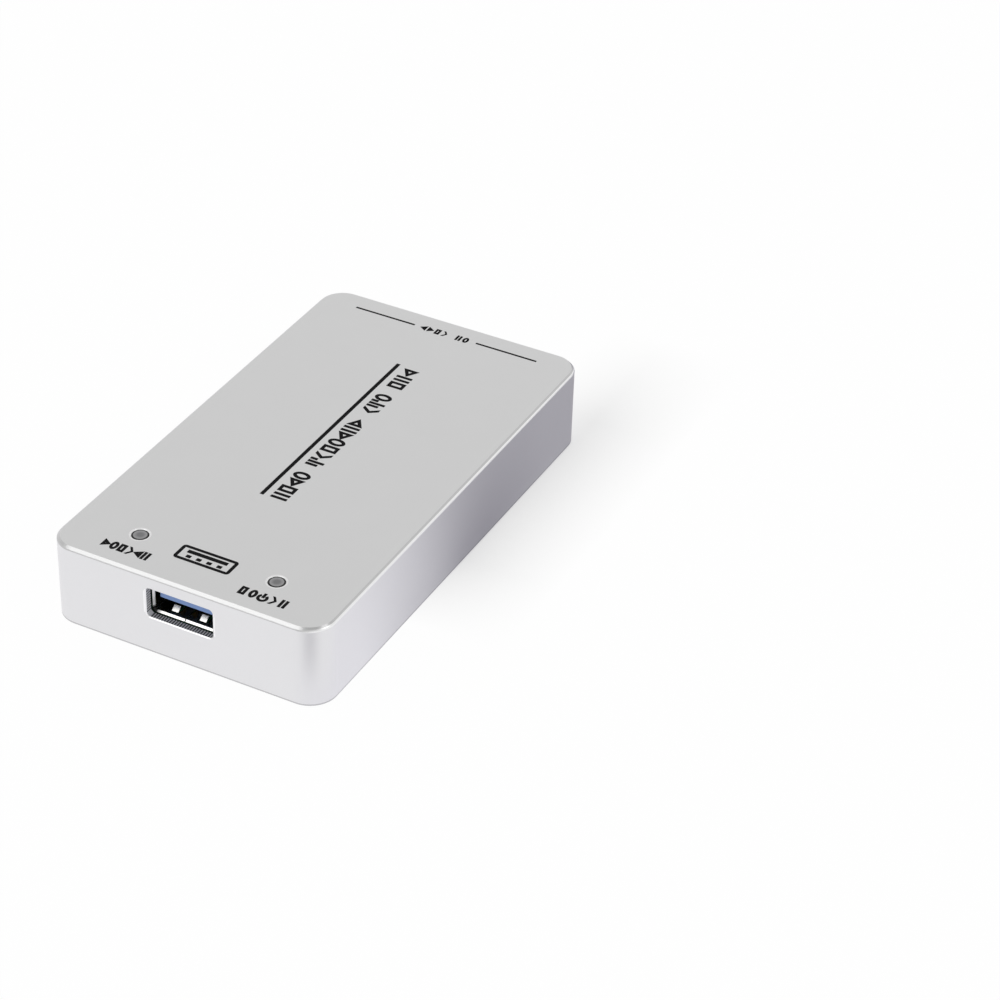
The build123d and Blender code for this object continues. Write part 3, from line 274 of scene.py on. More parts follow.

# %% [markdown]
# ## Blasted and anodised aluminium
#
# The housing is blasted with fine beads before it is anodised, which gives an even satin face with a very
# fine grain. Its edges are then cut again with a diamond tool, so the bevel round the lid is smoother
# than the faces. The bevels round the window and the lenses, and narrow rings on the faces just outside
# them, are painted nearly white as a painted highlight. One material has to serve the whole housing,
# because it is one block, so masks say where each kind of surface is. A bevel is found by how far its
# surface leans and by its height or distance, and a highlight ring by the face that it lies in and its
# distance. A surface's lean is the share of its normal that points one way: 1 is straight that way, and
# near 0 is side on.

# %% Finding the bevels and the rings of painted highlight
FLAT_UP = 0.97
FLAT_FRONT = -0.95
SIDE_ON = 0.3
LID_SKIN = 0.1
LID_BEVEL_DEPTH = 0.75
LENS_BEVEL_REACH = 2.3
LENS_HIGHLIGHT_RING = (1.6, 2.0)
WINDOW_HIGHLIGHT_RING = 0.3
WINDOW_HIGHLIGHT_FOOT = 8.6
WINDOW_BEVEL_DEPTH = 0.25
satin = Finish("anodised_aluminium")
lean_right, lean_back, lean_up = satin.lean()
lens_distance = from_lens(satin)
window_distance = from_window(satin)
lid_face = lean_up.above(FLAT_UP) * satin.z.above(LID - LID_SKIN)
front_face = lean_back.below(FLAT_FRONT)
lid_bevel = lean_up.between(SIDE_ON, FLAT_UP) * satin.z.above(LID - LID_BEVEL_DEPTH)
lens_bevel = lid_bevel * lens_distance.below(LENS_BEVEL_REACH)
# A ring on the lid round each lens gets a painted highlight.
lens_highlight_ring = lens_distance.between(*LENS_HIGHLIGHT_RING) * lid_face
near_window = window_distance.below(WINDOW_CORNER + WINDOW_HIGHLIGHT_RING)
window_bevel = near_window * lean_back.between(FLAT_FRONT, -SIDE_ON)
window_bevel = window_bevel * satin.y.below(FRONT + WINDOW_BEVEL_DEPTH)
# A ring on the front round the window gets a painted highlight.
window_highlight_ring = near_window * window_distance.above(WINDOW_CORNER) * front_face
window_highlight_ring = window_highlight_ring * satin.z.above(WINDOW_HIGHLIGHT_FOOT)
# The bevels and rings round the window and the lenses are painted nearly white: a painted highlight.
painted_highlight = window_bevel + lens_bevel + window_highlight_ring + lens_highlight_ring
print("finding the bevels and the cut edges takes", len(satin.tree.nodes), "nodes")

# %% [markdown]
# ### Milled lines in the window, and painted light and shade on the edges of the walls
#
# Inside the window the milling tool has left slanting lines on the wall. A sine wave on the sum of two
# coordinates gives lines at 45 degrees, and a steep ramp gives them hard edges. Their grooves are painted
# dark as painted shade and their ridges pale as painted light, paler on the window's side walls as a
# painted highlight. The bevel round the lid is painted darker than the faces as painted shade, and where
# it faces right, its lower half is painted brighter as a painted highlight. The lowest strip of the walls
# is painted a little darker than the rest: a painted shade where the wall meets the table.

# %% Milled lines, and the painted light and shade of the rim and the foot of the walls
WINDOW_WALL = (FRONT + 0.2, FRONT + 2.2)
LINE_PITCH = 0.53
LINE_EDGE = 0.3
RIM_TURN = (0.2, 0.55)
RIM_TOP = LID - 0.3
CONTACT_SHADE_TOP = FOOT + 0.3
UPRIGHT = 0.1
in_window = near_window * satin.y.between(*WINDOW_WALL)
lines = wave(satin.x + satin.z, LINE_PITCH).ramp(-LINE_EDGE, LINE_EDGE)
# Where the lid's bevel faces right, its lower part gets a painted highlight.
rim_highlight = lean_right.ramp(*RIM_TURN) * satin.z.below(RIM_TOP)
# The lowest strip of the walls gets a painted shade.
contact_shade = satin.z.below(CONTACT_SHADE_TOP) * abs(lean_up).below(UPRIGHT)
print("the milled lines lie", round(LINE_PITCH / math.sqrt(2), 2), "mm apart")

# %% Mixing the housing's colours
blast = satin.grain(0.16, detail=3.0)
cloud = satin.grain(9.0)
face = satin.colour(grey(0.765), grey(0.83), cloud * 0.25 + blast * 0.45 + 0.15)
# The grooves of the milled lines are painted dark as shade, and the ridges pale as light, paler on the
# side walls.
groove_shade = satin.colour((0.03, 0.03, 0.033), (0.2, 0.2, 0.21), abs(lean_right))
ridge_highlight = satin.colour((0.44, 0.44, 0.465), (0.95, 0.95, 0.98), abs(lean_right))
milled = satin.colour(groove_shade, ridge_highlight, lines)
wall = satin.colour(face, milled, in_window)
# A painted shade along the foot of the walls.
contact_shaded = satin.colour(wall, grey(0.56), contact_shade)
# The lid's bevel is painted darker as shade, and brighter as a highlight where it faces right.
rim_shade_and_highlight = satin.colour(grey(0.57), grey(0.92), rim_highlight)
bevelled = satin.colour(contact_shaded, rim_shade_and_highlight, lid_bevel)
# The painted highlight is nearly white; there and in the window the surface is less metallic, so that the
# painted tones show.
satin.finish(
    satin.colour(bevelled, grey(0.95), painted_highlight),
    blast * 0.08 + 0.37 - lid_bevel * 0.12,
    relief=blast * (1 - in_window) + lines * in_window,
    depth=0.003,
    metallic=0.88 - lens_bevel * 0.6 - in_window * 0.8,
)

# %% [markdown]
# ## Printing ink
#
# The marks on the lid are screen printed. Real ink is a thin, nearly black film with a slightly uneven
# edge and a dull surface.

# %% The ink's finish
ink = Finish("printing_ink")
film = ink.grain(0.3)
ink.finish(
    ink.colour(grey(0.003), (0.006, 0.006, 0.007), film),
    film * 0.15 + 0.65,
    relief=film,
    depth=0.002,
    others={"Specular IOR Level": 0.1},
)

# %% [markdown]
# ## Frosted lenses
#
# Each indicator is the end of a smoky light guide. Unlit, it is a mid grey that is a little paler towards
# its edge, with a black ring where the guide meets the hole. Below the lid the guide is clear and pale.
# The two lenses lie at the same distance either side of the socket's middle, so one pattern on the
# distance from the nearer centre serves both.

# %% The light guides' finish
PALE_EDGE = (0.5, 1.15)
BLACK_RING = (1.2, 1.34)
SMOKY_END = 0.6
lens = Finish("frosted_lens")
frost = lens.grain(0.12, detail=3.0)
haze = lens.grain(0.7)
from_centre = from_lens(lens)
smoky = lens.colour((0.13, 0.13, 0.135), (0.19, 0.19, 0.195), frost * 0.5 + haze * 0.5)
edged = lens.colour(smoky, (0.3, 0.3, 0.305), from_centre.ramp(*PALE_EDGE))
ringed = lens.colour(edged, grey(0.004), from_centre.ramp(*BLACK_RING))
lens.finish(
    lens.colour(ringed, (0.42, 0.42, 0.41), lens.z.below(LID - SMOKY_END)),
    frost * 0.15 + 0.38,
    relief=frost,
    depth=0.004,
    others={"Coat Weight": 0.1},
)

# %% [markdown]
# ## Nickel-plated sheet
#
# Both socket shells are rolled from thin sheet and plated. The rolling leaves long faint streaks along
# the socket, and plating makes the surface bright. At the mouth of the front shell the lips at its sides
# are painted nearly white and less metallic, a painted highlight, and its two lower corners are painted
# black, a painted shade. Deep inside, the plating is painted dark and brownish: a painted shade. Masks on
# the place find all three.

# %% The shells' finish
MOUTH = SOCKET_FRONT + 0.5
INSIDE_HALF_WIDTH = 6.4
INSIDE_HEIGHTS = (8.2, 13.6)
CORNER_ASIDE = 5.75
CORNER_HEIGHTS = (7.9, 8.95)
LIP_ASIDE = 6.0
LIP_FOOT = 9.2
nickel = Finish("nickel_sheet")
streak = nickel.grain(0.25, stretch=(1, 14, 1))
speck = nickel.grain(0.9)
from_middle = aside(nickel)
at_mouth = nickel.y.below(MOUTH)
inside = from_middle.below(INSIDE_HALF_WIDTH) * nickel.z.between(*INSIDE_HEIGHTS)
along_socket = abs(nickel.lean()[1]).below(SIDE_ON)
# Deep inside the shell the colour is painted dark: a painted shade.
deep_shade = nickel.y.between(MOUTH, 0) * inside * along_socket
# The two lower corners at the mouth are painted black: a painted shade.
corner = at_mouth * from_middle.above(CORNER_ASIDE) * nickel.z.between(*CORNER_HEIGHTS)
# The side lips at the mouth are painted nearly white: a painted highlight.
lip_highlight = at_mouth * from_middle.above(LIP_ASIDE) * nickel.z.above(LIP_FOOT)
plated = nickel.colour((0.72, 0.71, 0.69), (0.86, 0.85, 0.83), streak)
lip_highlighted = nickel.colour(plated, grey(0.98), lip_highlight)
deep_shaded = nickel.colour(lip_highlighted, (0.24, 0.22, 0.17), deep_shade)
nickel.finish(
    nickel.colour(deep_shaded, grey(0.02), corner),
    streak * 0.08 + speck * 0.06 + 0.14,
    relief=streak,
    depth=0.001,
    metallic=1 - lip_highlight * 0.6,
)

# %% [markdown]
# ## Gold-flashed contacts
#
# The contact strips are bronze with a thin flash of gold. Their wear is a slight change of tone along
# each strip, so the noise is stretched along the box.

# %% The contacts' finish
gold = Finish("gold_contacts")
wear = gold.grain(0.4, stretch=(0.5, 3, 0.5))
gold.finish(
    gold.colour((0.78, 0.58, 0.24), (0.93, 0.76, 0.42), wear),
    wear * 0.15 + 0.2,
    relief=wear,
    depth=0.002,
    metallic=1.0,
)

# %% [markdown]
# ## Moulded plastics
#
# The tongue of the front socket is moulded in blue, and the one in the rear socket in black. Moulded
# plastic is never quite one colour: the melt leaves faint clouds, and the mould's steel leaves a fine
# eroded texture. One function makes both, and the chips, capacitors and pads on the board too, because
# only their colours, gloss and grain differ.


# %% Plastic finishes
def moulded(name, dark, light, gloss, grain_size=0.14, depth=0.004):
    """A moulded plastic: clouds of two near colours and a fine eroded grain."""
    plastic = Finish(name)
    melt = plastic.grain(2.2)
    erosion = plastic.grain(grain_size, detail=3.0)
    mottle = plastic.colour(dark, light, melt * 0.7 + erosion * 0.3)
    plastic.finish(mottle, erosion * 0.16 + (0.55 - gloss), relief=erosion, depth=depth)


moulded("blue_plastic", (0.19, 0.31, 0.62), (0.24, 0.37, 0.70), 0.22)
moulded("black_plastic", (0.012, 0.012, 0.013), (0.03, 0.03, 0.032), 0.1)
moulded("chip_moulding", (0.022, 0.022, 0.024), (0.045, 0.045, 0.048), 0.0, depth=0.006)
moulded("line_ceramic", (0.03, 0.03, 0.032), (0.075, 0.072, 0.07), 0.05)
moulded("capacitor_ceramic", (0.36, 0.27, 0.18), (0.47, 0.37, 0.27), 0.12)
moulded("tantalum_moulding", (0.62, 0.39, 0.05), (0.78, 0.52, 0.1), 0.15)
moulded("inductor_ferrite", (0.05, 0.05, 0.052), grey(0.12), -0.05, grain_size=0.08, depth=0.01)
moulded("thermal_silicone", (0.36, 0.45, 0.56), (0.46, 0.55, 0.66), -0.25, grain_size=0.3, depth=0.02)
moulded("lamp_resin", (0.74, 0.73, 0.62), (0.88, 0.87, 0.78), 0.3)
moulded("insulating_film", (0.035, 0.035, 0.037), (0.06, 0.06, 0.062), 0.3, grain_size=1.1)
moulded("fuse_laminate", (0.03, 0.2, 0.08), (0.06, 0.28, 0.12), 0.1)

# %% [markdown]
# ## Bare and plated metals
#
# The rest of the metal hides inside or under the box: the base plate, brushed along its length, the
# blackened screws in it, tinned leads, the crystals' lids and the bright can of a capacitor. One
# function makes them all from a colour, a roughness and a direction of brushing.


# %% Metal finishes
def brushed(name, dark, light, roughness, stretch=(1, 1, 1)):
    """A brushed or drawn metal: streaks that are long where stretch is large, over slow clouds."""
    metal = Finish(name)
    streaks = metal.grain(0.2, stretch=stretch, detail=3.0)
    clouds = metal.grain(5.0)
    sheen = metal.colour(dark, light, streaks * 0.7 + clouds * 0.3)
    metal.finish(sheen, streaks * 0.16 + roughness, relief=streaks, depth=0.003, metallic=1.0)


brushed("base_plate_aluminium", (0.5, 0.5, 0.51), (0.62, 0.62, 0.63), 0.3, stretch=(1, 30, 1))
brushed("blackened_steel", (0.07, 0.07, 0.075), (0.16, 0.16, 0.165), 0.3)
brushed("tinned_leads", grey(0.62), grey(0.78), 0.25)
brushed("crystal_metal", (0.66, 0.64, 0.56), (0.8, 0.78, 0.7), 0.22, stretch=(1, 8, 1))
brushed("can_aluminium", (0.66, 0.66, 0.67), grey(0.82), 0.18, stretch=(1, 1, 6))

# %% [markdown]
# ## Rubber, foam and the circuit board
#
# The feet are dull black rubber with a pebbled skin. The gaskets are foam wrapped in a silvery woven
# cloth, whose weave is two crossed waves. The board is laminate under a green mask, and its copper
# tracks show through as slightly lighter lines that turn at right angles, which two sets of bands and a
# coarse noise give.

# %% Rubber
rubber = Finish("foot_rubber")
pebbles = rubber.cells(0.35)
skin_colour = rubber.colour(grey(0.018), grey(0.04), pebbles)
rubber.finish(skin_colour, pebbles * 0.1 + 0.75, relief=pebbles, depth=0.02)

# %% Gasket cloth
THREAD_PITCH = 0.4
gasket = Finish("gasket_foam")
weave = wave(gasket.x, THREAD_PITCH) * wave(gasket.y, THREAD_PITCH) * 0.5 + 0.5
gasket.finish(
    gasket.colour((0.3, 0.3, 0.31), (0.55, 0.55, 0.57), weave),
    weave * 0.15 + 0.5,
    relief=weave,
    depth=0.03,
    metallic=0.4,
)

# %% Circuit board
TRACK_PITCH = 0.9
COPPER_LEVEL = 0.45
board = Finish("board_laminate")
region = board.grain(7.0).above(0.5)
tracks_along = wave(board.x, TRACK_PITCH).above(COPPER_LEVEL)
tracks_across = wave(board.y, TRACK_PITCH).above(COPPER_LEVEL)
tracks = tracks_along * region + tracks_across * (1 - region)
fibre = board.grain(0.5)
mask_colour = board.colour((0.012, 0.10, 0.045), (0.02, 0.13, 0.06), fibre)
tracked_colour = board.colour(mask_colour, (0.04, 0.22, 0.1), tracks * 0.6)
board.finish(tracked_colour, fibre * 0.1 + 0.28, relief=tracks, depth=0.02)

# %% [markdown]
# ## Giving the parts their finishes
#
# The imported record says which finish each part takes, so one loop over its list paints every part. Only
# the material in a part's slot changes: its mesh and its place stay as the model has them.

# %% Painting the parts
for entry in frame["record"]["subparts"]:
    painted = frame["nodes"][entry["node"]]
    for material_slot in painted.material_slots:
        material_slot.material = finishes[entry["material_slot"]]

# %% [markdown]
# ## Marks on the lid
#
# The lid carries a long rule beside a title, two rules and a title at the rear end, a caption by each
# lens and a sign between the lenses. They are plain drawings, of the size and weight that printed words
# have there: the signs of a tape deck's keys, a switch sign and the outline of a socket.
#
# Each drawing is a flat mesh that a few operators shape: a rectangle with its corners rounded by a
# vertex bevel, a polygon whose middle an inset opens, a line of points swept sideways, or an edge spun
# into an arc. Solidify then gives the ink its thickness, half of it sunk in the lid, so that nothing
# floats and nothing lies exactly on the lid.

# %% Shapes that the drawings are made of
ROUNDING_SEGMENTS = 5
ARC_STEPS = 40


def patch(drawing, across, along, rounding):
    """A flat rectangle between two places across and two along the box, with rounded corners."""
    width = across[1] - across[0]
    length = along[1] - along[0]
    place = Matrix.Translation(((across[0] + across[1]) / 2, (along[0] + along[1]) / 2, 0))
    shape = place @ Matrix.Diagonal((width, length, 1, 1))
    made = bmesh.ops.create_grid(drawing, x_segments=1, y_segments=1, size=0.5, matrix=shape)
    bmesh.ops.bevel(
        drawing,
        geom=made["verts"],
        offset=rounding,
        offset_type="OFFSET",
        affect="VERTICES",
        segments=ROUNDING_SEGMENTS,
        profile=0.5,
        material=-1,
    )
    drawing.faces.ensure_lookup_table()
    return drawing.faces[-1]


def opened(drawing, face, stroke):
    """Open the middle of a face, so that only an outline of the given stroke is left."""
    bmesh.ops.inset_region(
        drawing, faces=[face], thickness=stroke, use_boundary=True, use_even_offset=True
    )
    bmesh.ops.delete(drawing, geom=[face], context="FACES_ONLY")


def outline(drawing, centre, radii, sides, turn, stroke):
    """The outline of a regular shape: three sides make a play sign, many sides make a ring."""
    place = Matrix.Translation((*centre, 0)) @ Matrix.Diagonal((*radii, 1, 1))
    shape = place @ Matrix.Rotation(math.radians(turn), 4, "Z")
    bmesh.ops.create_circle(drawing, cap_ends=True, segments=sides, radius=1, matrix=shape)
    drawing.faces.ensure_lookup_table()
    opened(drawing, drawing.faces[-1], stroke)


def swept(drawing, points, sweep):
    """A line of points, swept sideways into a flat strip."""
    verts = [drawing.verts.new((*point, 0)) for point in points]
    edges = [drawing.edges.new(pair) for pair in zip(verts, verts[1:])]
    made = bmesh.ops.extrude_edge_only(drawing, edges=edges)
    moved = [item for item in made["geom"] if isinstance(item, bmesh.types.BMVert)]
    bmesh.ops.translate(drawing, verts=moved, vec=(*sweep, 0))


def arc(drawing, centre, radius, width, start, turn):
    """Part of a flat ring, spun from a short edge. Angles are in degrees."""
    direction = Vector((math.cos(math.radians(start)), math.sin(math.radians(start)), 0))
    middle = Vector((*centre, 0))
    ends = [drawing.verts.new(middle + direction * (radius + side * width / 2)) for side in (-1, 1)]
    edge = drawing.edges.new(ends)
    bmesh.ops.spin(
        drawing,
        geom=[*ends, edge],
        cent=middle,
        axis=(0, 0, 1),
        angle=math.radians(turn),
        steps=ARC_STEPS,
    )


# %% Printing a drawing on the lid
INK_THICKNESS = 0.02


def printed(name, drawing):
    """Give a drawing its thickness, put it on the lid and let it go with the box."""
    bmesh.ops.recalc_face_normals(drawing, faces=drawing.faces)
    for face in drawing.faces:
        if face.normal.z < 0:
            face.normal_flip()
    bmesh.ops.solidify(drawing, geom=drawing.faces[:], thickness=INK_THICKNESS)
    lowest = min(vert.co.z for vert in drawing.verts)
    bmesh.ops.translate(drawing, verts=drawing.verts, vec=(0, 0, -lowest - INK_THICKNESS / 2))
    bmesh.ops.scale(drawing, verts=drawing.verts, vec=(MM, MM, MM))
    bmesh.ops.translate(drawing, verts=drawing.verts, vec=(0, 0, shell_high.z))
    bmesh.ops.recalc_face_normals(drawing, faces=drawing.faces)
    mesh = bpy.data.meshes.new(name)
    drawing.to_mesh(mesh)
    drawing.free()
    mesh.materials.append(finishes["printing_ink"])
    piece = bpy.data.objects.new(name, mesh)
    bpy.context.scene.collection.objects.link(piece)
    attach(piece, "root")
    print("printed", name, "with", len(mesh.polygons), "faces")


# %% [markdown]
# ### Signs and rows of signs
#
# A sign is drawn in its own small frame, about 1 high and read along x, and then copied, turned and
# scaled to its place. That way one drawing serves the large title and the small captions.

# %% The signs
SIGN_TOP = 0.48
BAR_ROUNDING = 0.02
CHEVRON = ((-0.28, -SIGN_TOP), (0.06, 0), (-0.28, SIGN_TOP))
CHEVRON_SWEEP = 0.24
SWITCH_MIDDLE = -0.1
SWITCH_RADIUS = 0.34
SWITCH_START, SWITCH_TURN = 125, 290
# the centre, the radii across and up, the number of sides and the turn of each outlined sign
OUTLINES = {
    "play": ((-0.08, 0), (0.5, 0.55), 3, -90),
    "back": ((0.08, 0), (0.5, 0.55), 3, 90),
    "stop": ((0, 0), (0.42, 0.68), 4, 45),
    "record": ((0, 0), (0.33, 0.5), 32, 0),
}
# the middle and the top of each bar
BARS = {
    "pause": ((-0.17, SIGN_TOP), (0.17, SIGN_TOP)),
    "level": ((-0.27, -0.05), (0, SIGN_TOP), (0.27, 0.22)),
}


def bar(drawing, middle, low, high, stroke):
    """An upright bar of a sign."""
    patch(drawing, (middle - stroke / 2, middle + stroke / 2), (low, high), BAR_ROUNDING)


def sign(drawing, kind, stroke):
    """One sign, in its own frame. The kind called gap draws nothing and leaves a space."""
    if kind in OUTLINES:
        outline(drawing, *OUTLINES[kind], stroke)
    elif kind in BARS:
        for middle, top in BARS[kind]:
            bar(drawing, middle, -SIGN_TOP, top, stroke)
    elif kind == "next":
        swept(drawing, CHEVRON, (CHEVRON_SWEEP, 0))
    elif kind == "switch":
        arc(drawing, (0, SWITCH_MIDDLE), SWITCH_RADIUS, stroke, SWITCH_START, SWITCH_TURN)
        bar(drawing, 0, SWITCH_MIDDLE, SIGN_TOP, stroke)


def row(name, kinds, start, turn, height, pitch, stroke):
    """Print signs one after another. Each is drawn by itself and then copied to its place."""
    drawing = bmesh.new()
    turned = Matrix.Rotation(math.radians(turn), 4, "Z")
    for number, kind in enumerate(kinds.split()):
        single = bmesh.new()
        sign(single, kind, stroke)
        step = turned @ Vector((number * pitch, 0, 0))
        place = Matrix.Translation(Vector((*start, 0)) + step)
        single.transform(place @ turned @ Matrix.Scale(height, 4))
        copy = bpy.data.meshes.new(kind)
        single.to_mesh(copy)
        single.free()
        drawing.from_mesh(copy)
        bpy.data.meshes.remove(copy)
    printed(name, drawing)


# %% The title, with the long rule beside it
RULE_ACROSS = (-2.86, -2.08)
RULE_ALONG = (-19.2, 31.3)
RULE_ROUNDING = 0.05
TITLE = (
    "play pause stop gap record level next gap back pause play record stop next level gap "
    "record play stop pause"
)
drawing = bmesh.new()
patch(drawing, RULE_ACROSS, RULE_ALONG, RULE_ROUNDING)
printed("title_rule", drawing)
row("title_signs", TITLE, start=(0.85, 29.4), turn=-90, height=3.5, pitch=2.5, stroke=0.2)

# %% The signs at the rear end, between their two rules
REAR_RULE_ENDS = (6.8, 20.0)
REAR_RULE_ALONG = (45.16, 45.64)
REAR_TITLE = "back play stop next gap pause record"
drawing = bmesh.new()
for side in (-1, 1):
    across = sorted(side * end for end in REAR_RULE_ENDS)
    patch(drawing, across, REAR_RULE_ALONG, RULE_ROUNDING)
printed("rear_rules", drawing)
row("rear_signs", REAR_TITLE, start=(-4.75, 45.35), turn=0, height=1.9, pitch=1.55, stroke=0.25)

# %% The captions of the lenses
CAPTION_Y = -45.4
CAPTION_HEIGHT = 2.35
LEFT_CAPTION = "play record stop next back pause"
RIGHT_CAPTION = "stop record switch next pause"
row("action_signs", LEFT_CAPTION, (-18.1, CAPTION_Y), 0, CAPTION_HEIGHT, pitch=1.62, stroke=0.25)
row("power_signs", RIGHT_CAPTION, (9.9, CAPTION_Y), 0, CAPTION_HEIGHT, pitch=2.0, stroke=0.25)

# %% The outline of a socket between the lenses
OUTLINE_ACROSS, OUTLINE_ALONG = (-6.1, 5.3), (-43.1, -38.9)
OUTLINE_ROUNDING = 0.7
OUTLINE_STROKE = 0.68
TONGUE_ACROSS, TONGUE_ALONG = (-4.5, 3.7), (-40.85, -39.95)
CONTACT_START, CONTACT_ALONG = -4.0, (-42.15, -41.35)
CONTACT_PITCH = 2.1
CONTACT_WIDTH = 1.0
INNER_ROUNDING = 0.1
drawing = bmesh.new()
border = patch(drawing, OUTLINE_ACROSS, OUTLINE_ALONG, OUTLINE_ROUNDING)
opened(drawing, border, OUTLINE_STROKE)
patch(drawing, TONGUE_ACROSS, TONGUE_ALONG, INNER_ROUNDING)
for number in range(4):
    start = CONTACT_START + number * CONTACT_PITCH
    patch(drawing, (start, start + CONTACT_WIDTH), CONTACT_ALONG, INNER_ROUNDING)
printed("socket_sign", drawing)

# %% [markdown]
# ## The table
#
# The box stands on a plain white sweep. The floor is a large sheet just below the feet. Seen by the
# camera it is mostly its own even white, with a little of the lit surface mixed in. On the right of the
# box, where its soft shadow falls, more of the lit surface is mixed in, so the floor is painted darker
# there as a painted shadow, and the rendered shadow shows in it too.

# %% The floor
FLOOR_HALF_SIZE = 1.6
FLOOR_DROP = 0.02
sheet = bmesh.new()
bmesh.ops.create_grid(sheet, x_segments=8, y_segments=8, size=FLOOR_HALF_SIZE)
bmesh.ops.translate(sheet, verts=sheet.verts, vec=(0, 0, -FLOOR_DROP * MM))
floor_mesh = bpy.data.meshes.new("floor")
sheet.to_mesh(floor_mesh)
sheet.free()
floor = bpy.data.objects.new("floor", floor_mesh)
bpy.context.scene.collection.objects.link(floor)
print("the floor is", 2 * FLOOR_HALF_SIZE, "m wide and lies", FLOOR_DROP, "mm below the feet")

# %% Lit paper, and the painted shadow on the right of the box
SHADOW_ACROSS = ((15, 28), (29, 47))
SHADOW_ALONG = ((-20, 2), (55, 90))
paper = Finish("white_paper")
lit_colour = paper.colour(grey(0.88), grey(0.9), paper.grain(3.0))
lit = paper.put("ShaderNodeBsdfDiffuse", None, {"Color": lit_colour})
# A region on the right of the box where the floor is painted darker: a painted shadow.
painted_shadow = paper.x.plateau(*SHADOW_ACROSS) * paper.y.plateau(*SHADOW_ALONG)
print("the shadow is", SHADOW_ACROSS[1][1] - SHADOW_ACROSS[0][0], "mm wide with its soft edges")

# %% [markdown]
# ### Cards that only the metal sees
#
# Satin metal has hardly a tone of its own: it shows what stands round it. In a studio, grey cards are
# therefore held beside the metal, out of the picture, until each wall has the tone that it should have.
# Here the cards are painted into the floor's own light, for reflected rays alone. A long card lies
# beside the rear part of the right wall, darkest a little behind the middle, and a small one in front of
# the right corner shades the corner's curve. What the right wall mirrors also has a faint cool tint.
#
# A point high up on the wall sees the floor further out and further back than a low one. So the long
# card's tones run along a slanting line, and `along_wall` is the place where that line meets the wall.
# Each pair of numbers is the two places between which a tone comes in or goes out.

# %% The cards
CARD_SLANT = 1.4
CARD_FADE = (-36, 1)
CARD_BESIDE_WALL = (14, 29)
CARD_BEHIND_BOX = (40, 60)
CARD_REACH_LEFT = 25
LONG_CARD_TONE = 0.78
DARKEST_RISE = (-10, 10)
DARKEST_FALL = (10, 36)
DARKEST_TONE = 0.14
PALER_REAR = 1.3
SMALL_CARD_X, SMALL_CARD_Y = 38, -71
SMALL_CARD_FADE = (5, 17)
SMALL_CARD_TONE = 0.665
TINT_FADE = (-64, -46)
TINT_BESIDE_WALL = (20, 30)
along_wall = paper.y - (paper.x - SIDE) * CARD_SLANT
right_part = (paper.x + paper.y.ramp(*CARD_BEHIND_BOX) * CARD_REACH_LEFT).ramp(*CARD_BESIDE_WALL)
darkest = along_wall.ramp(*DARKEST_RISE) - along_wall.ramp(*DARKEST_FALL) * PALER_REAR
long_card = (along_wall.ramp(*CARD_FADE) * LONG_CARD_TONE + darkest * DARKEST_TONE) * right_part
from_small_card = distance(paper.x - SMALL_CARD_X, paper.y - SMALL_CARD_Y)
small_card = SMALL_CARD_TONE * (1 - from_small_card.ramp(*SMALL_CARD_FADE))
tint = along_wall.ramp(*TINT_FADE) * paper.x.ramp(*TINT_BESIDE_WALL)
tinted = paper.colour((0.98, 0.975, 1.0), (0.935, 0.925, 0.985), tint)
carded = paper.colour(tinted, (0.2, 0.189, 0.239), long_card + small_card)
from_corner = math.hypot(SMALL_CARD_X - SIDE, SMALL_CARD_Y - FRONT)
print("the small card's middle lies", round(from_corner, 1), "mm from the front right corner")

# %% The floor's finish
OWN_WHITE = 0.97
SHADOW_SHARE = 0.5
GLASS_SHARE = 0.5
camera_ray, glossy_ray, glass_ray = paper.rays()
glow_colour = paper.colour(grey(1), carded, glossy_ray)
glow = paper.put("ShaderNodeEmission", None, {"Color": glow_colour, "Strength": 1.0})
# In the painted shadow, less of the floor's own white is mixed in for the camera.
glow_share = camera_ray * (OWN_WHITE - painted_shadow * SHADOW_SHARE) + glossy_ray + glass_ray * GLASS_SHARE
surface = paper.put("ShaderNodeMixShader", None, {0: glow_share, 1: lit, 2: glow})
paper.put("ShaderNodeOutputMaterial", None, {"Surface": surface})
floor_mesh.materials.append(paper.material)
print("the floor's finish takes", len(paper.tree.nodes), "nodes")

# %% [markdown]
# ## The studio
#
# A white surround lies behind everything. Dull surfaces get a weaker, even light from it, so that they
# aren't washed out. Metal mirrors it as bright near the horizon and darker overhead, like the walls and
# ceiling of a real studio, which tells the lid from the bevels.
#
# Three soft lamps stand in it. A large one at the front left, high enough to show in the front bevel,
# gives most of the light, a faint one at the right rear keeps that end from falling dark, and one at
# the right brings out the side's bevel.

# %% The surround
FILL = 0.75
HORIZON = 1.015
OVERHEAD_LOSS = 0.5
world = bpy.data.worlds.new("studio")
world.use_nodes = True
bpy.context.scene.world = world
surround = Net(world.node_tree)
camera_ray, glossy_ray, glass_ray = surround.rays()
upward = surround.parts(surround.put("ShaderNodeTexCoord", output="Generated"))[2]
mirrored = HORIZON - upward * OVERHEAD_LOSS
strength = (camera_ray + glass_ray) * (1 - FILL) + glossy_ray * (mirrored - FILL) + FILL
light = surround.put("ShaderNodeBackground", None, {"Color": grey(1), "Strength": strength})
surround.put("ShaderNodeOutputWorld", None, {"Surface": light})
overhead = round(HORIZON - OVERHEAD_LOSS, 3)
print("metal mirrors the surround at", HORIZON, "near the horizon and", overhead, "overhead")

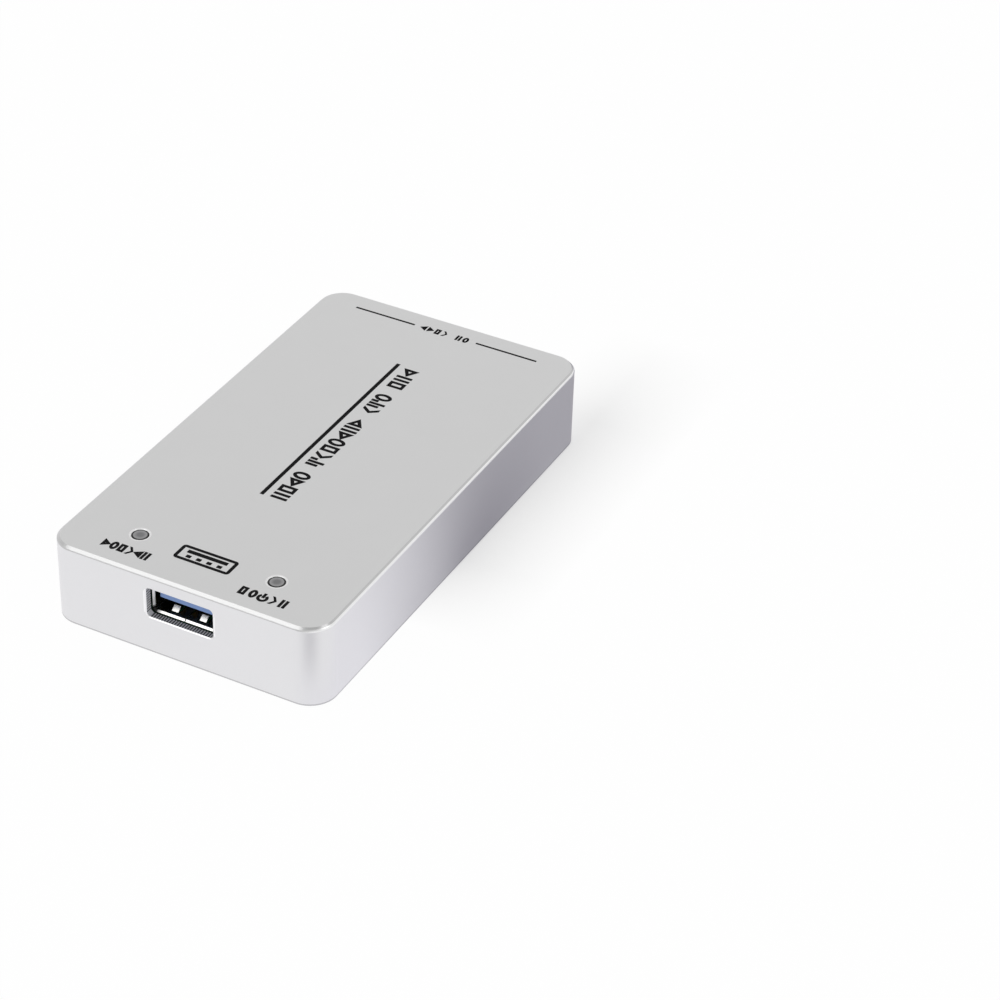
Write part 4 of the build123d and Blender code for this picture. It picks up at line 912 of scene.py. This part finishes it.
# %% The lamps
AIM = Vector((0, 0, 10)) * MM


def lamp(name, place, width, length, power):
    """A soft rectangular lamp that faces the box. Its place and size are in metres."""
    data = bpy.data.lights.new(name, "AREA")
    data.shape = "RECTANGLE"
    data.size = width
    data.size_y = length
    data.energy = power
    piece = bpy.data.objects.new(name, data)
    turn = (AIM - Vector(place)).to_track_quat("-Z", "Y")
    piece.matrix_world = Matrix.Translation(place) @ turn.to_matrix().to_4x4()
    bpy.context.scene.collection.objects.link(piece)
    print("lamp", name, "gives", power, "W")


lamp("front_softbox", (-0.27, -0.42, 0.53), width=0.5, length=0.4, power=0.8)
lamp("rear_softbox", (0.46, 0.59, 0.29), width=0.35, length=0.35, power=0.03)
lamp("side_softbox", (0.52, 0.03, 0.50), width=0.26, length=0.26, power=0.24)

# %% [markdown]
# ## The camera
#
# The camera looks down at the box from the front right. Its place was worked out from the straight edges
# of the box, whose real lengths are known. Three values say how it stands: the place of its eye, the
# point of the table that it aims at, and the two degrees by which it is rolled.

# %% The camera
EYE = Vector((228.05, -385.57, 318.11)) * MM
AIMED_AT = Vector((24.83, 22.10, 0)) * MM
ROLL = 1.99
FOCAL_PIXELS = 2926.9
PICTURE_PIXELS = 1000
SENSOR = 36.0
camera_data = bpy.data.cameras.new("camera")
camera_data.sensor_width = SENSOR
camera_data.lens = FOCAL_PIXELS * SENSOR / PICTURE_PIXELS
camera_data.clip_start = 0.01
camera_data.clip_end = 20.0
camera = bpy.data.objects.new("camera", camera_data)
aimed = (AIMED_AT - EYE).to_track_quat("-Z", "Y").to_matrix().to_4x4()
rolled = Matrix.Rotation(math.radians(ROLL), 4, "Z")
camera.matrix_world = Matrix.Translation(EYE) @ aimed @ rolled
bpy.context.scene.collection.objects.link(camera)
bpy.context.scene.camera = camera
print("focal length", round(camera_data.lens, 2), "mm at", round(EYE.length, 3), "m")

# %% [markdown]
# ## Showing it as it is
#
# The Standard view shows colours as they are written, with no film curve.

# %% The view
bpy.context.scene.view_settings.view_transform = "Standard"
